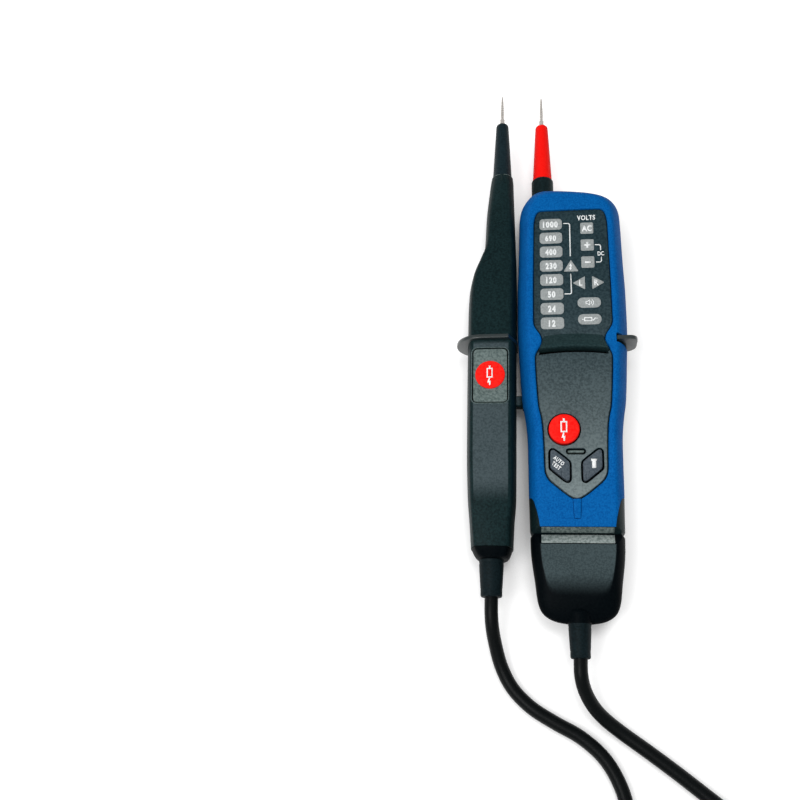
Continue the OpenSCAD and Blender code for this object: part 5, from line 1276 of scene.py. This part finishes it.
def make_probe_mouth():
    """Round lip of the probe's narrow end, where the sleeve enters, in a lighter grey that paints a
    highlight on the rounded edge.
    """
    lip = [[4.56, -0.8], [4.56, 0.0], [4.7, 0.16], [4.86, 0.16], [5.03, -0.05], [5.03, -0.45],
           [4.9, -0.8], [4.56, -0.8]]
    piece("probe_mouth_painted_highlight", Shape().turned(lip, along_y(PROBE_TIP_X, PROBE_TOP_Y, PROBE_PART_Z + 0.05)),
          "hand_probe", PAD, (), sharp=50)


make_turned()
make_probe_mouth()


# --- Hand probe ---
def section_points(square):
    """The probe's section as shares of its half width and height, between a circle and a drafted box,
    anticlockwise from the right-hand bottom corner."""
    a = np.radians(QUARTER_ANGLES)
    q = np.stack([np.cos(a), np.sin(a)], 1) * (1 - square) + np.array(QUARTER_SHARES) * square
    right = np.vstack([q[::-1] * [1, -1], q])
    return np.vstack([right, right[::-1] * [-1, 1]])


SECTION_KNOTS = lengths_along(section_points(0.9), True)


def probe_ring(row, count=144):
    """One ring of the probe from a row of shares, evenly round, as x and z."""
    x0, x1 = PROBE_TIP_X + PROBE_W * row[1], PROBE_TIP_X + PROBE_W * row[2]
    z0, z1 = PROBE_H * row[3], PROBE_H * row[4]
    points = section_points(row[5]) * [(x1 - x0) / 2, (z1 - z0) / 2] + [(x0 + x1) / 2, (z0 + z1) / 2]
    return curve_at(points, SECTION_KNOTS, np.linspace(0, SECTION_KNOTS[-1], count, endpoint=False), True)


def half_ring(ring, z, upper):
    """The part of a ring above or below a height, from its right side to its left or back."""
    n = len(ring)
    right = np.arange(-n // 8, n // 3)
    i0 = np.interp(z, ring[right % n, 1], right)
    left = np.arange(n // 2 + n // 3, n // 2 - n // 8, -1)
    i1 = np.interp(z, ring[left % n, 1], left)
    return picked(ring, i0, i1, 73) if upper else picked(ring, i1, i0 + n, 73)


PAD_W, PAD_LEN, PAD_X = 14.6, 24.6, PROBE_MID_X - 0.33
PAD_MID_Y = FALL_Y - 0.684 * PAD_LEN
PAD_LOOP = round_rect(PAD_W, PAD_LEN, 1.8, PAD_X, PAD_MID_Y)
DISC_Y = PAD_MID_Y + 0.002 * PAD_LEN
PAD_TOP = PROBE_H + 0.35


def make_probe_shells():
    """Front and rear halves of the probe: solids through rings along its length, parted by a fine
    groove. The front one has a pocket for the key pad."""
    rows = np.array(PROBE_SHARES)
    at = np.concatenate([np.linspace(-0.009, 0.6, 70), np.linspace(0.605, 0.83, 60),
                         np.linspace(0.84, 1, 30)])
    table = curve_at(rows[:, 1:], rows[:, 0], at, steady=True)
    rings = [probe_ring([s, *row]) for s, row in zip(at, table)]
    y = PROBE_SEAM_Y + at * PROBE_LEN
    half_groove = 0.07
    for upper, name in ((True, "probe_front"), (False, "probe_rear")):
        z = PROBE_PART_Z + (half_groove if upper else -half_groove)
        halves = [half_ring(ring, z, upper) for ring in rings]
        halves = [np.vstack([h, np.linspace(h[-1], h[0], 12)[1:-1]]) for h in halves]
        grid = np.array([np.stack([h[:, 0], np.full(len(h), yy), h[:, 1]], 1) for h, yy in zip(halves, y)])
        shell = Shape().grid(grid, closed=True)
        for end in (0, -1):
            xz, tris = filled([grid[end][:, [0, 2]]])
            shell.add(np.stack([xz[:, 0], np.full(len(xz), grid[end][0, 1]), xz[:, 1]], 1), tris)
        obj = piece(name, shell, "hand_probe", PROBE, (name + "_shell",), sharp=38)
        if upper:
            pocket = Shape().slab(moved_in(PAD_LOOP, -0.48), [(0, PROBE_H - 4.5), (0, PROBE_H + 3)])
            cut(obj, pocket, 38)


def make_probe_guard():
    """The probe's finger guard: a flat plate over its upper side with a large round ear to the left."""
    t, r, top = 1.8, 11.4, PROBE_H + 2.6
    left, right = PROBE_TIP_X - 0.704 * PROBE_W, PROBE_TIP_X + 0.303 * PROBE_W
    x, z = left - 4.8 + r, top - r
    a = np.radians(np.linspace(92, 262, 60))
    ear = np.stack([x + r * np.cos(a), z + r * np.sin(a)], 1)
    plate = np.vstack([[[x + 1, PROBE_H / 3], [right + 0.25, PROBE_H / 3], [right + 0.25, PROBE_H * 0.75],
                        [right - 0.16 * PROBE_W, top]], ear])
    guard = Shape().slab(plate, plate_rings(t), upright(FALL_Y + 0.94 * t, t))
    piece("probe_finger_guard", guard, "hand_probe", GUARD, (), sharp=40)


def make_probe_key():
    """Key frame, a slab of near-black painted shade in the gap, key pad and its red disc."""
    frame_loop = moved_in(PAD_LOOP, -0.98)
    rim = [(0, PROBE_H - 0.6), (0, PROBE_H + 0.3), (0.12, PROBE_H + 0.45), (0.32, PROBE_H + 0.5),
           (0.46, PROBE_H + 0.42), (0.5, PROBE_H - 0.6)]
    piece("probe_key_frame", Shape().band(frame_loop, rim), "hand_probe", FRAME, (),
          sharp=50)
    gap = Shape().slab(moved_in(PAD_LOOP, -0.47), [(0, PROBE_H - 4.4), (0, PROBE_H - 2.6)])
    piece("probe_key_gap", gap, "hand_probe", PAINTED_SHADE, ())
    key = Shape().slab(PAD_LOOP, [(0, PROBE_H - 1.0), (0, PROBE_H + 0.15), (0.08, PROBE_H + 0.28),
                                  (0.25, PAD_TOP)])
    piece("probe_pad", key, "probe_key", PAD, ("probe_key_pad",), sharp=50)
    disc = [[0, -0.2], [6.4, -0.2], [6.4, 0.45], [6.3, 0.62], [6.05, 0.7], [0, 0.72]]
    piece("probe_disc", Shape().turned(disc, lambda p: p + [PAD_X, DISC_Y, PAD_TOP], 96),
          "probe_key", RED, ("probe_key_disc",), sharp=50)


def make_probe_ends():
    """Small end cap, and the dock peg between probe and display unit."""
    rows = [[0, -0.583, 0.196, 0.125, 0.870, 0.85], [0, -0.576, 0.189, 0.135, 0.862, 0.82],
            [0, -0.535, 0.160, 0.17, 0.825, 0.75], [0, -0.480, 0.120, 0.22, 0.78, 0.6],
            [0, -0.43, 0.08, 0.26, 0.74, 0.5]]
    ys = [-1.72, -2.3, -4.2, -5.75, -6.15]
    rings = [probe_ring(row) for row in rows]
    grid = np.array([np.stack([r[:, 0], np.full(len(r), PROBE_SEAM_Y + y), r[:, 1]], 1)
                     for r, y in zip(rings, ys)])
    fine = curve_at(grid, [0, 1, 2, 3, 3.4], np.linspace(0, 3.4, 18), steady=True)
    cap = Shape().grid(fine, closed=True)
    for end in (0, -1):
        cap.grid([fine[end], np.broadcast_to(fine[end].mean(0), fine[end].shape)], closed=True)
    piece("probe_cap", cap, "hand_probe", CAP, ("probe_end_cap",), sharp=50)
    peg = round_rect(PEG_LEN, PEG_H, PEG_R, PEG_Y, PEG_Z)
    place = lambda p: np.stack([PEG_X - p[..., 2], p[..., 0], p[..., 1]], -1)
    piece("dock_peg", Shape().slab(peg, [(0.4, 0), (0, 0.4), (0, 5)], place), "hand_probe", PROBE, (),
          sharp=50)


make_probe_shells()
make_probe_guard()
make_probe_key()
make_probe_ends()


# --- White legends and icons ---
def stroke(line, width, closed=False):
    """A ribbon of one width along a line, mitred at its corners, as two rows of points."""
    p = np.asarray(line, float)
    if closed:
        before, after = p - np.roll(p, 1, axis=0), np.roll(p, -1, axis=0) - p
    else:
        step = np.diff(p, axis=0)
        before, after = np.vstack([step[:1], step]), np.vstack([step, step[-1:]])
    before = before / np.linalg.norm(before, axis=1, keepdims=True)
    after = after / np.linalg.norm(after, axis=1, keepdims=True)
    n = np.stack([-(before + after)[:, 1], (before + after)[:, 0]], 1)
    n /= np.maximum(np.linalg.norm(n, axis=1, keepdims=True), 1e-9)
    side = np.stack([-before[:, 1], before[:, 0]], 1)
    n *= (width / 2 / np.maximum((n * side).sum(1, keepdims=True), 0.4))
    rows = np.stack([p + n, p - n])
    return np.concatenate([rows, rows[:, :1]], 1) if closed else rows


INK_THICK = 0.03


class Ink(Shape):
    """Flat marks that lie on a surface given as a height over x and y."""

    def __init__(self, height):
        super().__init__()
        self.height = height

    def lay(self, xy, faces):
        """Adds flat points and faces at the surface's height."""
        xy = np.asarray(xy, float).reshape(-1, 2)
        return self.add(with_z(xy, self.height(xy)), faces)

    def line(self, points, width, closed=False):
        """A stroke of one width along a line."""
        rows = stroke(points, width, closed)
        n = rows.shape[1]
        i = np.arange(n - 1)
        return self.lay(rows.reshape(-1, 2), np.stack([i, i + 1, n + i + 1, n + i], 1))

    def patch(self, outline):
        """A filled outline."""
        xy, tris = filled([np.asarray(outline, float)])
        return self.lay(xy, tris)

    def text(self, words, x, y, width, height, turn=0.0, bold=0.02, apart=1.0):
        """Words in the plain built-in face, fitted to a width and a height."""
        curve = bpy.data.curves.new("words", "FONT")
        curve.body, curve.offset, curve.resolution_u, curve.space_character = words, bold, 3, apart
        obj = bpy.data.objects.new("words", curve)
        bpy.context.collection.objects.link(obj)
        mesh = bpy.data.meshes.new_from_object(obj.evaluated_get(bpy.context.evaluated_depsgraph_get()))
        xy = np.array([v.co[:2] for v in mesh.vertices])
        faces = [list(p.vertices) for p in mesh.polygons]
        bpy.data.objects.remove(obj)
        low, high = xy.min(0), xy.max(0)
        xy = (xy - (low + high) / 2) / (high - low) * [width, height]
        c, s = math.cos(math.radians(turn)), math.sin(math.radians(turn))
        xy = xy @ np.array([[c, s], [-s, c]]) + [x, y]
        points = with_z(xy, self.height(xy))
        self.points.append(points)
        self.faces += [[v + self.count for v in face] for face in faces]
        self.count += len(points)
        return self

    def finish(self, name, body):
        """Makes the marks a piece, facing up, as a skin that goes a little way down."""
        obj = piece(name, self, body, INK, (), core=(0, 0, -1e5))
        skin = obj.modifiers.new("ink", "SOLIDIFY")
        skin.thickness, skin.offset = INK_THICK * MM, -1


def probe_icon(ink, x, y, s=1.0):
    """A test probe: a resistor's box on a lead, with a small bolt below it."""
    at = lambda points: np.array(points) * s + [x, y]
    ink.line(at([[-1.0, -1.9], [1.0, -1.9], [1.0, 1.9], [-1.0, 1.9]]), 0.5 * s, True)
    ink.line(at([[0, 1.9], [0, 3.2]]), 0.7 * s)
    ink.patch(at([[0.3, -2.1], [-0.15, -3.55], [0.5, -3.5], [0.28, -5.5], [-0.2, -5.5], [-0.25, -4.2],
                  [-1.0, -4.3], [-0.3, -2.1]]))


def make_legends():
    """White numbers and signs on the windows, marks on the panel, and icons on the keys and the disc."""
    words = Ink(lambda p: LENS_Z + INK_THICK + 0 * p[:, 0])
    widths = {"1000": 6.7, "690": 4.9, "400": 4.9, "230": 4.9, "120": 4.6, "50": 3.3, "24": 3.4, "12": 3.0}
    for i, (label, width) in enumerate(widths.items()):
        words.text(label, VOLT_X - 0.1, VOLT_TOP_Y - i * PITCH - 0.1, width, 3.3, bold=0.055, apart=1.22)
    words.text("AC", RIGHT_X, SQUARE_YS[0] - 0.1, 4.4, 3.2, bold=0.04, apart=1.1)
    words.line([[RIGHT_X - 1.35, SQUARE_YS[1]], [RIGHT_X + 1.35, SQUARE_YS[1]]], 0.85)
    words.line([[RIGHT_X, SQUARE_YS[1] - 1.5], [RIGHT_X, SQUARE_YS[1] + 1.5]], 0.85)
    words.line([[RIGHT_X - 1.3, SQUARE_YS[2] - 0.1], [RIGHT_X + 1.3, SQUARE_YS[2] - 0.1]], 0.85)
    words.text("L", RIGHT_X - 3.35, PHASE_Y, 1.5, 2.9, bold=0.035)
    words.text("R", RIGHT_X + 3.4, PHASE_Y, 1.95, 2.9, bold=0.035)
    bolt = np.array([[0.35, 1.5], [-0.7, -0.4], [-0.1, -0.35], [-0.4, -1.3], [-0.8, -1.2], [-0.15, -2.5],
                     [0.55, -1.4], [0.12, -1.5], [0.65, 0.2], [0.1, 0.25]])
    words.patch(bolt + [HAZARD_X - 0.1, HAZARD_Y])
    sx, sy = RIGHT_X + 0.3, STATUS_YS[0]
    words.line([[sx - 1.7, sy - 0.5], [sx - 1.0, sy - 0.5], [sx - 0.2, sy - 1.2], [sx - 0.2, sy + 1.2],
                [sx - 1.0, sy + 0.5], [sx - 1.7, sy + 0.5]], 0.3, True)
    for r in (0.9, 1.75):
        a = np.radians(np.linspace(-52, 52, 9))
        words.line(np.stack([sx - 0.2 + r * np.cos(a), sy + r * np.sin(a)], 1), 0.3)
    cx, cy = RIGHT_X, STATUS_YS[1]
    words.line([[cx - 2.2, cy - 0.75], [cx + 0.9, cy - 0.75], [cx + 0.9, cy + 0.75],
                [cx - 2.2, cy + 0.75]], 0.4, True)
    words.line([[cx - 3.3, cy], [cx - 2.2, cy]], 0.4)
    words.line([[cx + 0.9, cy], [cx + 1.6, cy - 0.5], [cx + 2.3, cy + 0.5], [cx + 3.5, cy + 0.35]], 0.4)
    words.finish("window_legends", "display_unit")

    marks = Ink(lambda p: panel_at(p[:, 1]) + INK_THICK)
    marks.text("VOLTS", 7.07, 81.5, 8.1, 2.6, bold=0.035, apart=1.12)
    marks.text("DC", 13.0, 63.05, 2.8, 2.1, bold=0.03)
    marks.line(soft_corners([[-3.07, 78.9], [-0.28, 78.85], [-0.34, 62.2]], 1.0, closed=False), 0.45)
    marks.line(soft_corners([[-0.34, 53.45], [-0.26, 43.58], [-3.29, 43.62]], 0.8, closed=False), 0.45)
    marks.line(soft_corners([[10.52, 67.55], [13.0, 67.45], [12.98, 64.71]], 0.9, closed=False), 0.42)
    marks.line(soft_corners([[10.77, 58.87], [13.15, 58.8], [13.2, 61.37]], 0.9, closed=False), 0.42)
    marks.finish("panel_legends", "display_unit")

    def flat_on(y0, rise):
        """Height of a plane that is square to the panel, raised above it."""
        lift = rise / math.cos(TILT)
        return lambda p: float(panel_at(y0)) + lift + (p[:, 1] - y0) * math.tan(TILT)

    icon = Ink(flat_on(TEST_Y, TEST_RISE + 0.13))
    probe_icon(icon, TEST_X - 0.12, TEST_Y + 0.74, 1.12)
    icon.finish("test_key_icon", "test_key")
    auto = Ink(flat_on(KEYS_Y, SMALL_RISE + 0.06))
    auto.text("AUTO", -7.15, -31.44, 5.15, 1.8, -40, bold=0.045, apart=1.25)
    auto.text("TEST", -8.2, -33.6, 4.1, 1.8, -40, bold=0.045, apart=1.25)
    auto.finish("auto_key_legend", "auto_key")
    torch = Ink(flat_on(KEYS_Y, SMALL_RISE + 0.06))
    torch.patch([[6.0, -30.75], [6.2, -31.6], [6.62, -31.95], [6.4, -32.2], [6.4, -34.6], [8.05, -34.6],
                 [8.05, -32.2], [7.83, -31.95], [8.25, -31.6], [8.45, -30.75]])
    torch.finish("torch_key_icon", "torch_key")
    disc = Ink(lambda p: PAD_TOP + 0.75 + 0 * p[:, 0])
    probe_icon(disc, PAD_X - 0.15, DISC_Y + 0.75, 1.05)
    disc.finish("probe_disc_icon", "probe_key")


make_legends()


# --- Inner parts and screws keep their solids and get their finishes ---
def dress(names, material):
    """Gives the solids of the named nodes one material."""
    for name in names:
        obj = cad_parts[name]
        obj.data.materials.clear()
        obj.data.materials.append(material)


dress(["shell_screws", "battery_door_screw", "board_screws", "probe_screws"],
      metal("screw_steel", (170, 170, 168), (120, 120, 118), 1400))
dress(["battery_contacts"], metal("contact_nickel", (200, 198, 190), (160, 158, 150), 1400))
dress(["led_board", "probe_board"],
      plastic("circuit_board", (14, 74, 40), (22, 92, 52), 900, 0.00003, 0.3, 0.4))
dress(["display_leds"], plastic("led_resin", (214, 218, 220), (232, 235, 236), 900, 0.00001, 0.2, 0.3))
dress(["tact_switches", "probe_switch"],
      plastic("switch_body", (34, 35, 36), (52, 53, 54), 1500, 0.00002, 0.4, 0.5))
dress(["sounder"], plastic("sounder_body", (16, 16, 17), (26, 26, 27), 1500, 0.00002, 0.4, 0.5))
dress(["battery_cells"],
      plastic("battery_sleeve", (150, 116, 44), (176, 140, 60), 700, 0.00001, 0.25, 0.35))
dress(["torch_led"], CLEAR)


# --- Floor, world and lights ---
FLOOR_HALF, FLOOR_Z, FLOOR_GLOW = 3, -0.0003, 0.75
# How far off the floor looks for the object, to fade its glow into a painted contact shadow round it, in
# metres
SHADE_REACH = 0.018
# The dome's light low down and high up, its shares on the left and right, and the white that
# reflections see of it
DOME_LOW, DOME_HIGH, LEFT_SHARE, RIGHT_SHARE, MIRRORED_WORLD = 0.62, 0.12, 1.2, 0.55, 0.45
# Each lamp's place, side in metres, power in watts, and whether glossy surfaces mirror it
LAMPS = {"overhead": ((0.11, 0.06, 0.86), 0.3, 3.7, False),
         "left_box": ((-0.30, -0.22, 0.66), 0.3, 2.6, True)}


def make_floor():
    """Pale floor: diffuse, and to the camera and in reflections also glowing, with the glow fading into a
    painted contact shadow where the object hides the sky.
    """
    mesh = bpy.data.meshes.new("floor")
    corners = [(x * FLOOR_HALF, y * FLOOR_HALF, FLOOR_Z) for x, y in ((-1, -1), (1, -1), (1, 1), (-1, 1))]
    mesh.from_pydata(corners, [], [(0, 1, 2, 3)])
    floor = bpy.data.objects.new("floor", mesh)
    bpy.context.collection.objects.link(floor)
    material = bpy.data.materials.new("pale_floor")
    material.use_nodes = True
    tree = material.node_tree
    tree.nodes.clear()
    path = put(tree, "ShaderNodeLightPath").outputs
    # Painted shadow: ambient occlusion fades the floor's glow near and between the parts
    open_sky = put(tree, "ShaderNodeAmbientOcclusion", {"Distance": SHADE_REACH}, samples=8).outputs["AO"]
    seen = calc(tree, "MAXIMUM", path["Is Camera Ray"], path["Is Glossy Ray"])
    lift = calc(tree, "MULTIPLY", calc(tree, "MULTIPLY", seen, open_sky), FLOOR_GLOW)
    diffuse = put(tree, "ShaderNodeBsdfDiffuse", {"Color": (0.62, 0.62, 0.62, 1)})
    glow = put(tree, "ShaderNodeEmission", {"Color": (1, 1, 1, 1), "Strength": lift})
    both = put(tree, "ShaderNodeAddShader", {0: diffuse.outputs[0], 1: glow.outputs[0]})
    put(tree, "ShaderNodeOutputMaterial", {"Surface": both.outputs[0]})
    mesh.materials.append(material)


def make_world():
    """White world for the camera and through clear plastic, and for all other rays a dome that is
    brightest low down and on the left, with a least level in reflections."""
    world = bpy.data.worlds.new("studio")
    bpy.context.scene.world = world
    world.use_nodes = True
    tree = world.node_tree
    tree.nodes.clear()
    path = put(tree, "ShaderNodeLightPath").outputs
    seen = calc(tree, "MAXIMUM", path["Is Camera Ray"], path["Is Transmission Ray"])
    around = put(tree, "ShaderNodeTexCoord").outputs["Generated"]
    way = put(tree, "ShaderNodeSeparateXYZ", {0: around}).outputs
    dome = calc(tree, "MULTIPLY", mapped(tree, way["Z"], 0.0, 0.8, DOME_LOW, DOME_HIGH),
                mapped(tree, way["X"], -0.6, 0.6, LEFT_SHARE, RIGHT_SHARE))
    gloss = calc(tree, "MULTIPLY", path["Is Glossy Ray"], MIRRORED_WORLD)
    strength = calc(tree, "MAXIMUM", calc(tree, "MAXIMUM", seen, gloss), dome)
    back = put(tree, "ShaderNodeBackground", {"Color": (1, 1, 1, 1), "Strength": strength})
    put(tree, "ShaderNodeOutputWorld", {"Surface": back.outputs[0]})


def make_lamps():
    """Square lamps that all point at the origin."""
    for name, (place, size, power, mirrored) in LAMPS.items():
        data = bpy.data.lights.new(name, "AREA")
        data.shape, data.size, data.energy = "SQUARE", size, power
        lamp = bpy.data.objects.new(name, data)
        lamp.location = place
        lamp.visible_glossy = mirrored
        lamp.rotation_euler = (-Vector(place)).to_track_quat("-Z", "Y").to_euler()
        bpy.context.collection.objects.link(lamp)


make_floor()
make_world()
make_lamps()
bpy.context.scene.view_settings.view_transform = "Standard"
